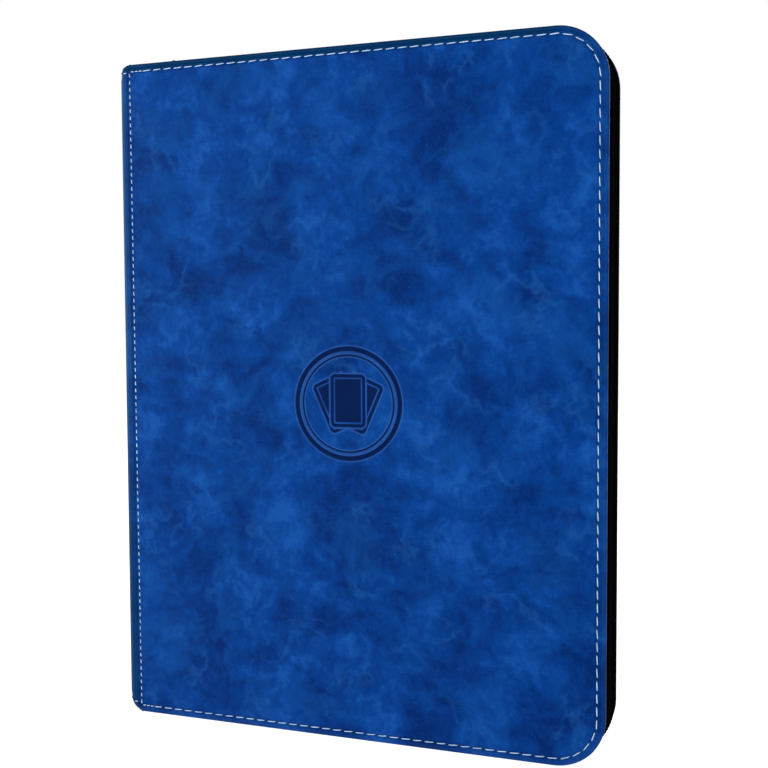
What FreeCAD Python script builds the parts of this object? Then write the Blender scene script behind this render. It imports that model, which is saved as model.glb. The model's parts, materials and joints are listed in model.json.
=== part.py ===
import FreeCAD, Part
import math
import os
import Sketcher

# Zip-up binder for trading cards: two padded covers hinged on a padded spine, a zip
# round the three open sides, and twenty leaves of side-loading pockets bound inside.
# It stands upright on its lower edges.  X runs from the spine to the fore edge, Y from
# the front cover to the back cover, Z upwards.  The origin is under the middle of it.

V = FreeCAD.Vector
doc = FreeCAD.newDocument("card_binder")
os.makedirs("parts", exist_ok=True)

# ------------------------------------------------------------------ driving dimensions
DIMENSIONS = {
    # outside of the binder
    "cover_height": 350,      # lower edge to upper edge
    "cover_width": 253,       # hinge stitching to fore edge
    "closed_depth": 35,       # outside of one cover to outside of the other
    "corner_radius": 25,      # fore-edge corners of the covers
    "zip_proud": 1.5,         # how far the zip stands past the fore edge
    # layers of a cover, outside to inside
    "leather_thick": 1,
    "foam_thick": 1.2,
    "board_thick": 1.2,
    "lining_thick": 0.6,
    "edge_round": 1.5,
    # hinge and spine
    "pivot_inset": 2,         # hinge stitching to the fold of the leather
    "fold_gap": 0.3,          # between the cover's leather and the spine's
    "spine_round": 5.5,       # rounding from the covers into the back of the spine
    "spine_dome": 1,          # swell of the padded back of the spine
    "spine_groove": 0.8,      # how far the spine starts below the cover's face
    "spine_pad": 0.6,         # foam between the leather and the spine board at its edges
    "spine_foot": 3.5,        # the spine's lower end stops this far above the covers'
    "spine_head": 1,          # its upper end stops this far below the covers'
    "spine_board_half": 12,
    "spine_board_thick": 1.4,
    # stitching
    "stitch_inset": 4,
    "groove_width": 1.4,
    "groove_depth": 0.5,
    "thread_wide": 0.8,
    "thread_high": 0.4,
    "edge_pitch": 6.2,
    "edge_stitch": 4.9,
    "hinge_pitch": 3.7,
    "hinge_stitch": 2.2,
    # emblem pressed into the front cover
    "emblem_right": 123.4,    # hinge stitching to the middle of the emblem
    "emblem_up": 172.3,       # lower edge to the middle of the emblem
    "emblem_radius": 29,
    "ring_wide": 1.6,
    "ring_step": 3,
    "card_wide": 19,
    "card_high": 27,
    "card_corner": 2.5,
    "card_splay": 24,         # angle between neighbouring cards of the fan
    "fan_drop": 12,           # middle of the emblem down to the foot of the fan
    "press_depth": 0.5,
    # gusset and zip
    "band_inset": 2,          # how far the top and bottom runs sit inside the covers
    "gusset_thick": 1,
    "gusset_reach": 7,        # from the cover's inner face
    "tape_thick": 0.8,
    "tape_wide": 8,
    "chain_wide": 2.5,
    "chain_thick": 2.4,
    "chain_gap": 1,
    "zip_start": 3,           # hinge stitching to the end of gusset and tape
    "stop_long": 3,
    "slider_start": 12,
    "slider_long": 11,
    "slider_wide": 9,
    "slider_plate": 0.8,
    "slider_clear": 0.3,
    "post_thick": 0.4,
    "post_long": 3,
    "lip_drop": 0.7,
    "ear_thick": 1,
    "bar_radius": 0.6,
    "bar_clear": 0.1,
    "eye_wall": 0.8,
    "puller_long": 26,
    "puller_wide": 7,
    "puller_thick": 1.2,
    "puller_shoulder": 3,
    "puller_tip": 2,
    # leaves
    "leaf_pitch": 1.3,
    "leaf_stagger": 0.6,      # each leaf starts this much further from the spine
    "first_leaf": 1.5,        # hinge stitching to the outermost leaf's bound edge
    "film_thick": 0.3,
    "bound_margin": 14,
    "pocket_wide": 72,
    "pocket_high": 99,
    "weld_wide": 3,
}
LEAVES = 20
ROWS = 3
COLUMNS = 3

dims = doc.addObject("Spreadsheet::Sheet", "dims")
for row, (alias, number) in enumerate(DIMENSIONS.items(), start=1):
    dims.set("A%d" % row, alias)
    dims.set("B%d" % row, str(number))
    dims.setAlias("B%d" % row, alias)
doc.recompute()


def value(expression):
    """The number that an expression over the sheet stands for, in millimetres."""
    return float(dims.evalExpression(str(expression)))


# ------------------------------------------------- places worked out from the dimensions
COVER_THICK = "(dims.leather_thick + dims.foam_thick + dims.board_thick + dims.lining_thick)"
SPINE_OUT = "(dims.pivot_inset + dims.spine_round + dims.spine_dome)"
HINGE = "(%s / 2 - (dims.cover_width + dims.zip_proud) / 2)" % SPINE_OUT
FORE = "(%s + dims.cover_width)" % HINGE
PIVOT = "(%s - dims.pivot_inset)" % HINGE
FACE = "(dims.closed_depth / 2)"
INNER = "(%s - %s)" % (FACE, COVER_THICK)
TRAY_WALL = "dims.leather_thick"
FRONT, BACK = -1, 1


# ---------------------------------------------------------------------- sketch helpers
def origin_plane(body, role):
    return next(feature for feature in body.Origin.OriginFeatures if feature.Role == role)


def new_sketch(body, name, role, offset):
    """A sketch on one of the body's own origin planes, moved along that plane's normal."""
    sketch = body.newObject("Sketcher::SketchObject", name)
    sketch.AttachmentSupport = [(origin_plane(body, role), "")]
    sketch.MapMode = "FlatFace"
    sketch.setExpression("AttachmentOffset.Base.z", str(offset))
    return sketch


def bind(sketch, constraint, expression):
    index = sketch.addConstraint(constraint)
    sketch.setExpression("Constraints[%d]" % index, str(expression))


def place_point(sketch, geometry, point, right=None, up=None):
    """Dimension a sketch point from the sketch's origin."""
    if right is not None:
        bind(sketch, Sketcher.Constraint("DistanceX", -1, 1, geometry, point, value(right)), right)
    if up is not None:
        bind(sketch, Sketcher.Constraint("DistanceY", -1, 1, geometry, point, value(up)), up)


def close_loop(sketch, ids):
    for first, second in zip(ids, ids[1:] + ids[:1]):
        sketch.addConstraint(Sketcher.Constraint("Coincident", first, 2, second, 1))


def draw_rectangle(sketch, left, right, low, high):
    x0, x1, y0, y1 = value(left), value(right), value(low), value(high)
    corners = [V(x0, y0), V(x1, y0), V(x1, y1), V(x0, y1)]
    sides = [Part.LineSegment(a, b) for a, b in zip(corners, corners[1:] + corners[:1])]
    ids = list(sketch.addGeometry(sides, False))
    close_loop(sketch, ids)
    for side in (ids[0], ids[2]):
        sketch.addConstraint(Sketcher.Constraint("Horizontal", side))
    for side in (ids[1], ids[3]):
        sketch.addConstraint(Sketcher.Constraint("Vertical", side))
    place_point(sketch, ids[0], 1, left, low)
    place_point(sketch, ids[1], 2, right, high)


def draw_cover_outline(sketch, left, right, low, high, radius):
    """A rectangle with square corners at the spine and round ones at the fore edge."""
    x0, x1, y0, y1, r = value(left), value(right), value(low), value(high), value(radius)
    up = V(0, 0, 1)
    lower_centre = V(x1 - r, y0 + r)
    upper_centre = V(x1 - r, y1 - r)
    pieces = [
        Part.LineSegment(V(x0, y0), V(x1 - r, y0)),
        Part.ArcOfCircle(Part.Circle(lower_centre, up, r), -math.pi / 2, 0),
        Part.LineSegment(V(x1, y0 + r), V(x1, y1 - r)),
        Part.ArcOfCircle(Part.Circle(upper_centre, up, r), 0, math.pi / 2),
        Part.LineSegment(V(x1 - r, y1), V(x0, y1)),
        Part.LineSegment(V(x0, y1), V(x0, y0)),
    ]
    bottom, low_arc, fore, high_arc, top, spine = sketch.addGeometry(pieces, False)
    for first, second in ((bottom, low_arc), (low_arc, fore), (fore, high_arc), (high_arc, top)):
        sketch.addConstraint(Sketcher.Constraint("Tangent", first, 2, second, 1))
    for first, second in ((top, spine), (spine, bottom)):
        sketch.addConstraint(Sketcher.Constraint("Coincident", first, 2, second, 1))
    for line in (bottom, top):
        sketch.addConstraint(Sketcher.Constraint("Horizontal", line))
    for line in (fore, spine):
        sketch.addConstraint(Sketcher.Constraint("Vertical", line))
    sketch.addConstraint(Sketcher.Constraint("Equal", low_arc, high_arc))
    bind(sketch, Sketcher.Constraint("Radius", low_arc, r), radius)
    place_point(sketch, bottom, 1, left, low)
    place_point(sketch, fore, 1, right=right)
    place_point(sketch, top, 2, up=high)


def draw_polygon(sketch, points):
    """A closed polygon whose every corner is dimensioned from the sheet."""
    corners = [V(value(x), value(y)) for x, y in points]
    sides = [Part.LineSegment(a, b) for a, b in zip(corners, corners[1:] + corners[:1])]
    ids = list(sketch.addGeometry(sides, False))
    close_loop(sketch, ids)
    for side, (x, y) in zip(ids, points):
        place_point(sketch, side, 1, x, y)


# --------------------------------------------------------------------- feature helpers
def new_body(name):
    body = doc.addObject("PartDesign::Body", name)
    body.Label = name
    return body


def pad(body, sketch, length, reverse=False):
    feature = body.newObject("PartDesign::Pad", sketch.Name + "_pad")
    feature.Profile = sketch
    feature.setExpression("Length", str(length))
    feature.Reversed = reverse
    body.Tip = feature
    doc.recompute()
    return feature


def pocket(body, sketch, length, reverse=False):
    """Cut away a sketch, and make sure that it took something."""
    before = body.Shape.Volume
    feature = body.newObject("PartDesign::Pocket", sketch.Name + "_pocket")
    feature.Profile = sketch
    feature.setExpression("Length", str(length))
    feature.Reversed = reverse
    body.Tip = feature
    doc.recompute()
    if not 0 < feature.Shape.Volume < before:
        raise RuntimeError("%s cuts nothing" % feature.Name)
    return feature


def face_sketch(body, name, side, inset):
    """A sketch facing front or back, at a distance inside that cover's outer face.

    The normal of the XZ plane points to -Y, towards the front."""
    offset = "%d * (%s - (%s))" % (-side, FACE, inset)
    return new_sketch(body, name, "XZ_Plane", offset)


def inward(side):
    """Pads go along the normal, so the front cover's layers are reversed."""
    return side == FRONT


def cut_inward(side):
    return side == BACK


# ------------------------------------------------------------------------------ covers
def cover_layer(name, side, inset, thick, left, margin):
    """One flat layer of a cover, kept a margin inside the cover's outline."""
    body = new_body(name)
    sketch = face_sketch(body, name + "_outline", side, inset)
    draw_cover_outline(sketch, left, "%s - (%s)" % (FORE, margin), margin,
                       "dims.cover_height - (%s)" % margin, "dims.corner_radius - (%s)" % margin)
    pad(body, sketch, thick, inward(side))
    return body


def round_outer_edge(body, side):
    plane = side * value(FACE)
    base = body.Tip
    on_face = [
        "Edge%d" % number for number, edge in enumerate(base.Shape.Edges, start=1)
        if all(abs(vertex.Point.y - plane) < 1e-6 for vertex in edge.Vertexes)
    ]
    fillet = body.newObject("PartDesign::Fillet", body.Name + "_edge")
    fillet.Base = (base, on_face)
    fillet.setExpression("Radius", "dims.edge_round")
    body.Tip = fillet
    doc.recompute()


def stitch_groove(body, name, side):
    """A shallow channel that the thread lies in, along all four sides of the cover."""
    half = "dims.groove_width / 2"
    sketch = face_sketch(body, name + "_groove", side, 0)
    for grow in (half, "-" + half):
        inset = "(dims.stitch_inset - %s)" % grow
        draw_cover_outline(sketch, "%s - %s" % (HINGE, grow), "%s - %s" % (FORE, inset), inset,
                           "dims.cover_height - %s" % inset, "dims.corner_radius - %s" % inset)
    pocket(body, sketch, "dims.groove_depth", cut_inward(side))


def press_ring(body, number):
    """One ring of the emblem."""
    sketch = face_sketch(body, "emblem_ring_%d" % number, FRONT, 0)
    outer = "dims.emblem_radius - %d * dims.ring_step" % number
    across = "%s + dims.emblem_right" % HINGE
    for radius in (outer, "%s - dims.ring_wide" % outer):
        centre = V(value(across), value("dims.emblem_up"))
        circle = sketch.addGeometry(Part.Circle(centre, V(0, 0, 1), value(radius)), False)
        place_point(sketch, circle, 3, across, "dims.emblem_up")
        bind(sketch, Sketcher.Constraint("Radius", circle, value(radius)), radius)
    pocket(body, sketch, "dims.press_depth")


def press_card(body, number, depth):
    """One blank card of the emblem's fan, splayed about the fan's foot."""
    sketch = face_sketch(body, "emblem_card_%d" % number, FRONT, 0)
    half_wide = value("dims.card_wide / 2")
    half_high = value("dims.card_high / 2")
    corner = value("dims.card_corner")
    tilt = math.radians(-number * value("dims.card_splay"))
    middle = V(value("%s + dims.emblem_right" % HINGE), value("dims.emblem_up"))
    foot = middle - V(0, value("dims.fan_drop"))
    spokes = [
        (half_wide - corner, corner, 0), (half_wide - corner, 2 * half_high - corner, 90),
        (corner - half_wide, 2 * half_high - corner, 180), (corner - half_wide, corner, 270),
    ]

    def turned(x, y):
        return V(x * math.cos(tilt) - y * math.sin(tilt), x * math.sin(tilt) + y * math.cos(tilt))

    arcs = []
    for x, y, start in spokes:
        centre = foot + turned(x, y)
        first = math.radians(start - 90) + tilt
        circle = Part.Circle(centre, V(0, 0, 1), corner)
        arcs.append(Part.ArcOfCircle(circle, first, first + math.pi / 2))
    sides = [Part.LineSegment(a.EndPoint, b.StartPoint) for a, b in zip(arcs, arcs[1:] + arcs[:1])]
    ids = []
    for arc, side in zip(arcs, sides):
        ids += [sketch.addGeometry(arc, False), sketch.addGeometry(side, False)]
    for first, second in zip(ids, ids[1:] + ids[:1]):
        sketch.addConstraint(Sketcher.Constraint("Tangent", first, 2, second, 1))
    pocket(body, sketch, depth)


def make_cover(side, prefix):
    hinge_end = "%s + dims.fold_gap" % PIVOT
    tray_end = "%s + dims.pivot_inset" % HINGE
    skin = cover_layer(prefix + "_cover_leather", side, 0, "%s - dims.lining_thick" % COVER_THICK,
                       hinge_end, 0)
    round_outer_edge(skin, side)
    tray = face_sketch(skin, prefix + "_tray", side, "dims.leather_thick")
    draw_cover_outline(tray, tray_end, "%s - %s" % (FORE, TRAY_WALL), TRAY_WALL,
                       "dims.cover_height - %s" % TRAY_WALL, "dims.corner_radius - %s" % TRAY_WALL)
    pocket(skin, tray, COVER_THICK, cut_inward(side))
    stitch_groove(skin, prefix, side)
    if side == FRONT:
        for number in range(2):
            press_ring(skin, number)
        for number, depth in ((-1, "0.5 * dims.press_depth"), (1, "0.7 * dims.press_depth"),
                              (0, "dims.press_depth")):
            press_card(skin, number, depth)
    cover_layer(prefix + "_cover_foam", side, "dims.leather_thick", "dims.foam_thick",
                tray_end, TRAY_WALL)
    cover_layer(prefix + "_cover_board", side, "dims.leather_thick + dims.foam_thick",
                "dims.board_thick", tray_end, TRAY_WALL)
    cover_layer(prefix + "_cover_lining", side, "%s - dims.lining_thick" % COVER_THICK,
                "dims.lining_thick", hinge_end, "dims.edge_round")


# ------------------------------------------------------------------------- zip and gusset
def make_band(name, side, inset, wide, outside, thick, start):
    """A U-shaped strip standing on edge round the three open sides of one cover.

    inset is from the cover's outer face; outside is how far the strip's outer surface
    stands past the cover's fore edge."""
    run_low = "(dims.band_inset - (%s))" % outside
    run_high = "(dims.cover_height - %s)" % run_low
    body = new_body(name)
    outer = face_sketch(body, name + "_outer", side, inset)
    draw_cover_outline(outer, start, "%s + (%s)" % (FORE, outside), run_low, run_high,
                       "dims.corner_radius + (%s)" % outside)
    pad(body, outer, wide, inward(side))
    inner = face_sketch(body, name + "_inner", side, inset)
    draw_cover_outline(inner, "%s - 1" % start, "%s + (%s) - (%s)" % (FORE, outside, thick),
                       "%s + (%s)" % (run_low, thick), "%s - (%s)" % (run_high, thick),
                       "dims.corner_radius + (%s) - (%s)" % (outside, thick))
    pocket(body, inner, wide, cut_inward(side))
    return body


CHAIN_OUT = "dims.zip_proud"
TAPE_OUT = "(dims.zip_proud - dims.chain_thick / 2 + dims.tape_thick / 2)"
GUSSET_OUT = "(%s - dims.tape_thick)" % TAPE_OUT
CHAIN_NEAR = "(%s - dims.chain_gap / 2 - dims.chain_wide)" % FACE
TAPE_NEAR = "(%s - dims.tape_wide)" % CHAIN_NEAR


def zip_stops(name, side, ends):
    """Metal clips that end the chain beside the spine."""
    shapes = []
    for low in ends:
        clip = doc.addObject("Part::Box", "%s_%d" % (name, len(shapes)))
        clip.setExpression("Length", "dims.stop_long")
        clip.setExpression("Width", "dims.chain_wide")
        clip.setExpression("Height", "dims.chain_thick")
        clip.setExpression("Placement.Base.x", "%s + dims.zip_start" % HINGE)
        near = "dims.chain_gap / 2" if side == BACK else "-(dims.chain_gap / 2 + dims.chain_wide)"
        clip.setExpression("Placement.Base.y", near)
        clip.setExpression("Placement.Base.z", low)
        shapes.append(clip)
    group = doc.addObject("Part::Compound", name)
    group.Label = name
    group.Links = shapes
    return group


def make_zip(side, prefix):
    start = "(%s + dims.zip_start)" % HINGE
    make_band(prefix + "_gusset", side, COVER_THICK, "dims.gusset_reach", GUSSET_OUT,
              "dims.gusset_thick", start)
    make_band(prefix + "_zip_tape", side, TAPE_NEAR, "dims.tape_wide", TAPE_OUT,
              "dims.tape_thick", start)
    make_band(prefix + "_zip_chain", side, CHAIN_NEAR, "dims.chain_wide", CHAIN_OUT,
              "dims.chain_thick", "(%s + dims.stop_long)" % start)
    low_run = "dims.band_inset - dims.zip_proud"
    high_run = "dims.cover_height - dims.band_inset + dims.zip_proud - dims.chain_thick"
    zip_stops(prefix + "_zip_stops", side, (low_run, high_run))


# Heights of the slider's parts, on the upper run of the zip
CHAIN_TOP = "(dims.cover_height - dims.band_inset + dims.zip_proud)"
PLATE_LOW = "(%s + dims.slider_clear)" % CHAIN_TOP
PLATE_TOP = "(%s + dims.slider_plate)" % PLATE_LOW
UNDER_TOP = "(%s - dims.chain_thick - dims.slider_clear)" % CHAIN_TOP
UNDER_LOW = "(%s - dims.slider_plate)" % UNDER_TOP
BAR_UP = "(%s + 3 * dims.bar_radius)" % PLATE_TOP
SLIDER_LEFT = "(%s + dims.slider_start)" % HINGE
BAR_ACROSS = "(%s + dims.slider_long / 2)" % SLIDER_LEFT


def side_profile(body, name, points, half_wide):
    """Pad a profile drawn in the XZ plane evenly to both sides of it."""
    sketch = new_sketch(body, name, "XZ_Plane", 0)
    draw_polygon(sketch, points)
    feature = pad(body, sketch, "2 * (%s)" % half_wide)
    feature.Midplane = True
    doc.recompute()
    return feature


def box_points(left, right, low, high):
    return [(left, low), (right, low), (right, high), (left, high)]


def make_slider():
    """Two plates joined by a thin post between the chains, with a bridge for the puller."""
    body = new_body("zip_slider")
    right = "%s + dims.slider_long" % SLIDER_LEFT
    half = "dims.slider_wide / 2"
    post = box_points("%s - dims.post_long" % right, right, UNDER_LOW, PLATE_TOP)
    side_profile(body, "slider_post", post, "dims.post_thick / 2")
    side_profile(body, "slider_upper", box_points(SLIDER_LEFT, right, PLATE_LOW, PLATE_TOP), half)
    side_profile(body, "slider_under", box_points(SLIDER_LEFT, right, UNDER_LOW, UNDER_TOP), half)
    lip = new_sketch(body, "slider_lip", "YZ_Plane", SLIDER_LEFT)
    lip_in = "dims.chain_gap / 2 + dims.chain_wide + dims.slider_clear"
    lip_low = "%s - dims.lip_drop" % PLATE_LOW
    draw_rectangle(lip, lip_in, half, lip_low, PLATE_TOP)
    pad(body, lip, "dims.slider_long")
    reach = "(1.2 * dims.bar_radius)"
    ears = new_sketch(body, "slider_ears", "YZ_Plane", "%s - %s" % (BAR_ACROSS, reach))
    ear_in = "(dims.puller_wide / 4 + dims.slider_clear)"
    ear_out = "(%s + dims.ear_thick)" % ear_in
    for low_side, high_side in ((ear_in, ear_out), ("-" + ear_out, "-" + ear_in)):
        draw_rectangle(ears, low_side, high_side, PLATE_TOP, "%s + %s" % (BAR_UP, reach))
    pad(body, ears, "2 * %s" % reach)
    bar = new_sketch(body, "slider_bar", "XZ_Plane", 0)
    circle = bar.addGeometry(Part.Circle(V(value(BAR_ACROSS), value(BAR_UP)), V(0, 0, 1),
                                         value("dims.bar_radius")), False)
    place_point(bar, circle, 3, BAR_ACROSS, BAR_UP)
    bind(bar, Sketcher.Constraint("Radius", circle, value("dims.bar_radius")), "dims.bar_radius")
    feature = pad(body, bar, "2 * %s + dims.ear_thick" % ear_in)
    feature.Midplane = True
    doc.recompute()


def make_puller():
    """A flat tab that swings on the slider's bar."""
    body = new_body("zip_puller")
    eye = "(dims.bar_radius + dims.bar_clear)"
    ring = "(%s + dims.eye_wall)" % eye
    neck = new_sketch(body, "puller_neck", "XZ_Plane", 0)
    across, up = value(BAR_ACROSS), value(BAR_UP)
    for radius in (ring, eye):
        circle = neck.addGeometry(Part.Circle(V(across, up), V(0, 0, 1), value(radius)), False)
        place_point(neck, circle, 3, BAR_ACROSS, BAR_UP)
        bind(neck, Sketcher.Constraint("Radius", circle, value(radius)), radius)
    feature = pad(body, neck, "dims.puller_wide / 2")
    feature.Midplane = True
    tab_start = "(%s + %s)" % (BAR_ACROSS, eye)
    tab = new_sketch(body, "puller_tab", "XY_Plane", "%s - dims.puller_thick / 2" % BAR_UP)
    half = "dims.puller_wide / 2"
    shoulder = "%s + dims.puller_shoulder" % tab_start
    end = "(%s + dims.puller_long)" % tab_start
    tip = "%s - dims.puller_tip" % end
    quarter = "dims.puller_wide / 4"
    draw_polygon(tab, [
        (tab_start, "-(%s)" % quarter), (shoulder, "-(%s)" % half), (tip, "-(%s)" % half),
        (end, "-(%s)" % quarter), (end, quarter), (tip, half), (shoulder, half),
        (tab_start, quarter),
    ])
    pad(body, tab, "dims.puller_thick")


# ------------------------------------------------------------------------------- spine
def spine_path(inset):
    """Corner points of the spine's outer skin, moved inwards by an inset."""
    radius = value("dims.spine_round") - inset
    fold = value(PIVOT)
    flank = value("%s - dims.spine_groove - dims.spine_round" % FACE)
    dome = value("dims.spine_dome")
    slant = radius * math.sqrt(0.5)
    return {
        "start": V(fold, -flank - radius), "start_mid": V(fold - slant, -flank - slant),
        "flank": V(fold - radius, -flank), "crown": V(fold - radius - dome, 0),
        "end_flank": V(fold - radius, flank), "end_mid": V(fold - slant, flank + slant),
        "end": V(fold, flank + radius),
    }


def draw_spine_curve(sketch, inset):
    path = spine_path(inset)
    sketch.addGeometry(Part.Arc(path["start"], path["start_mid"], path["flank"]), False)
    sketch.addGeometry(Part.Arc(path["flank"], path["crown"], path["end_flank"]), False)
    sketch.addGeometry(Part.Arc(path["end_flank"], path["end_mid"], path["end"]), False)
    return path["start"], path["end"]


def draw_spine_shell(sketch, outer_inset, inner_inset):
    outer_start, outer_end = draw_spine_curve(sketch, value(outer_inset))
    inner_start, inner_end = draw_spine_curve(sketch, value(inner_inset))
    sketch.addGeometry(Part.LineSegment(outer_start, inner_start), False)
    sketch.addGeometry(Part.LineSegment(outer_end, inner_end), False)


def stand_up(name, low):
    """A body whose outline is drawn looking down, starting a little above the lower edge."""
    body = new_body(name)
    return body, new_sketch(body, name + "_outline", "XY_Plane", low)


BOARD_OUT = "(%s - dims.spine_round + dims.leather_thick + dims.spine_pad)" % PIVOT
BOARD_IN = "(%s + dims.spine_board_thick)" % BOARD_OUT
SPINE_INNER = "(%s + dims.lining_thick)" % BOARD_IN
LINING_OUT = "(%s + dims.lining_thick)" % INNER
SPINE_LOW = "dims.spine_foot"
SPINE_HIGH = "(dims.cover_height - dims.spine_head)"
LOW_HEM = "(%s + dims.stitch_inset)" % SPINE_LOW
HIGH_HEM = "(%s - dims.stitch_inset)" % SPINE_HIGH


def make_spine():
    inside_low = "%s + %s" % (SPINE_LOW, TRAY_WALL)
    inside_height = "%s - %s - 2 * %s" % (SPINE_HIGH, SPINE_LOW, TRAY_WALL)
    leather, outline = stand_up("spine_leather", SPINE_LOW)
    draw_spine_shell(outline, 0, "dims.leather_thick")
    pad(leather, outline, "%s - %s" % (SPINE_HIGH, SPINE_LOW))
    for number, middle in enumerate((LOW_HEM, HIGH_HEM)):
        low = "%s - dims.groove_width / 2" % middle
        hem = new_sketch(leather, "hem_groove_%d" % number, "XY_Plane", low)
        draw_spine_shell(hem, 0, "dims.groove_depth")
        pocket(leather, hem, "dims.groove_width", True)

    foam, outline = stand_up("spine_foam", inside_low)
    start, end = draw_spine_curve(outline, value("dims.leather_thick"))
    inner = [(PIVOT, LINING_OUT), (BOARD_IN, LINING_OUT), (BOARD_IN, "dims.spine_board_half"),
             (BOARD_OUT, "dims.spine_board_half")]
    corners = [V(value(x), value(y)) for x, y in inner]
    mirrored = [V(corner.x, -corner.y) for corner in reversed(corners)]
    path = [end] + corners + mirrored + [start]
    for first, second in zip(path, path[1:]):
        outline.addGeometry(Part.LineSegment(first, second), False)
    pad(foam, outline, inside_height)

    board, outline = stand_up("spine_board", inside_low)
    draw_rectangle(outline, BOARD_OUT, BOARD_IN, "-dims.spine_board_half", "dims.spine_board_half")
    pad(board, outline, inside_height)

    lining, outline = stand_up("spine_lining", inside_low)
    draw_polygon(outline, [
        (PIVOT, "-%s" % LINING_OUT), (PIVOT, "-%s" % INNER), (SPINE_INNER, "-%s" % INNER),
        (SPINE_INNER, INNER), (PIVOT, INNER), (PIVOT, LINING_OUT), (BOARD_IN, LINING_OUT),
        (BOARD_IN, "-%s" % LINING_OUT),
    ])
    pad(lining, outline, inside_height)


# -------------------------------------------------------------------------------- leaves
LEAF_HIGH = "(%d * dims.pocket_high + %d * dims.weld_wide)" % (ROWS, ROWS + 1)
LEAF_WIDE = "(dims.bound_margin + %d * (dims.pocket_wide + dims.weld_wide))" % COLUMNS
LEAF_LOW = "((dims.cover_height - %s) / 2)" % LEAF_HIGH
HALF = LEAVES // 2


def leaf_depth(number):
    """Y of a leaf's middle; leaf 1 lies against the front cover."""
    return "((%g) * dims.leaf_pitch)" % (number - (LEAVES + 1) / 2)


def leaf_across(number):
    """X of a leaf's bound edge: the middle leaves sit furthest from the spine."""
    step = min(number, LEAVES + 1 - number) - 1
    return "(%s + dims.first_leaf + %d * dims.leaf_stagger)" % (HINGE, step)


def make_binding():
    """The sewn ridge that the leaves' bound edges are fixed along."""
    body = new_body("page_binding")
    sketch = new_sketch(body, "binding_outline", "XY_Plane", LEAF_LOW)
    back_off = "dims.leaf_stagger"
    low_side = "(%s - dims.leaf_pitch / 2)" % leaf_depth(1)
    foot = "%s - %s" % (leaf_across(1), back_off)
    ridge = "%s - %s" % (leaf_across(HALF), back_off)
    crest = "dims.leaf_pitch / 4"
    draw_polygon(sketch, [
        (SPINE_INNER, low_side), (foot, low_side), (ridge, "-%s" % crest), (ridge, crest),
        (foot, "-%s" % low_side), (SPINE_INNER, "-%s" % low_side),
    ])
    pad(body, sketch, LEAF_HIGH)


def make_leaf(number):
    """A thin sheet with three rows of three pockets standing up on both of its faces."""
    body = new_body("page_%02d" % number)
    middle = leaf_depth(number)
    left = leaf_across(number)
    sheet = new_sketch(body, "sheet_%02d" % number, "XZ_Plane",
                       "-(%s) - dims.film_thick / 2" % middle)
    draw_rectangle(sheet, left, "%s + %s" % (left, LEAF_WIDE), LEAF_LOW,
                   "%s + %s" % (LEAF_LOW, LEAF_HIGH))
    pad(body, sheet, "dims.film_thick")
    first_left = "%s + dims.bound_margin" % left
    first_low = "%s + dims.weld_wide" % LEAF_LOW
    rise = "1.5 * dims.film_thick"
    cell = new_sketch(body, "pocket_%02d" % number, "XZ_Plane", "-(%s) - %s" % (middle, rise))
    draw_rectangle(cell, first_left, "%s + dims.pocket_wide" % first_left, first_low,
                   "%s + dims.pocket_high" % first_low)
    pocket_pad = pad(body, cell, "2 * %s" % rise)
    grid = body.newObject("PartDesign::LinearPattern", "pockets_%02d" % number)
    grid.Originals = [pocket_pad]
    grid.Direction = (cell, ["H_Axis"])
    grid.Direction2 = (cell, ["V_Axis"])
    grid.Occurrences = COLUMNS
    grid.Occurrences2 = ROWS
    grid.setExpression("Length", "%d * (dims.pocket_wide + dims.weld_wide)" % (COLUMNS - 1))
    grid.setExpression("Length2", "%d * (dims.pocket_high + dims.weld_wide)" % (ROWS - 1))
    body.Tip = grid
    doc.recompute()


# ------------------------------------------------------------------------------ stitching
def thread_bar(long):
    """A flat-bottomed piece of thread lying along X, its foot on the plane z = 0."""
    wide = value("dims.thread_wide")
    high = value("dims.thread_high")
    bar = Part.makeBox(long, wide, high, V(-long / 2, -wide / 2, 0))
    upper = [edge for edge in bar.Edges if all(abs(v.Point.z - high) < 1e-6 for v in edge.Vertexes)]
    return bar.makeChamfer(high / 3, upper)


def laid(bar, where, along, outward):
    """Move a thread so that it lies at a point, along a direction, proud of a surface."""
    across = outward.cross(along)
    turn = FreeCAD.Matrix(along.x, across.x, outward.x, where.x, along.y, across.y, outward.y,
                          where.y, along.z, across.z, outward.z, where.z, 0, 0, 0, 1)
    copy = bar.copy()
    copy.transformShape(turn)
    return copy


def stitches_along(wire, pitch, long, outward_at):
    """Evenly spaced threads along a wire."""
    bar = thread_bar(long)
    count = max(1, int(wire.Length / pitch))
    step = wire.Length / count
    pieces = []
    for point_number in range(count):
        distance = (point_number + 0.5) * step
        for edge in wire.OrderedEdges:
            if distance <= edge.Length:
                break
            distance -= edge.Length
        parameter = edge.getParameterByLength(distance)
        along = edge.tangentAt(parameter)
        along.normalize()
        where = edge.valueAt(parameter)
        pieces.append(laid(bar, where, along, outward_at(where)))
    return pieces


def add_group(name, pieces):
    node = doc.addObject("Part::Feature", name)
    node.Label = name
    node.Shape = Part.makeCompound(pieces)
    return node


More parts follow.
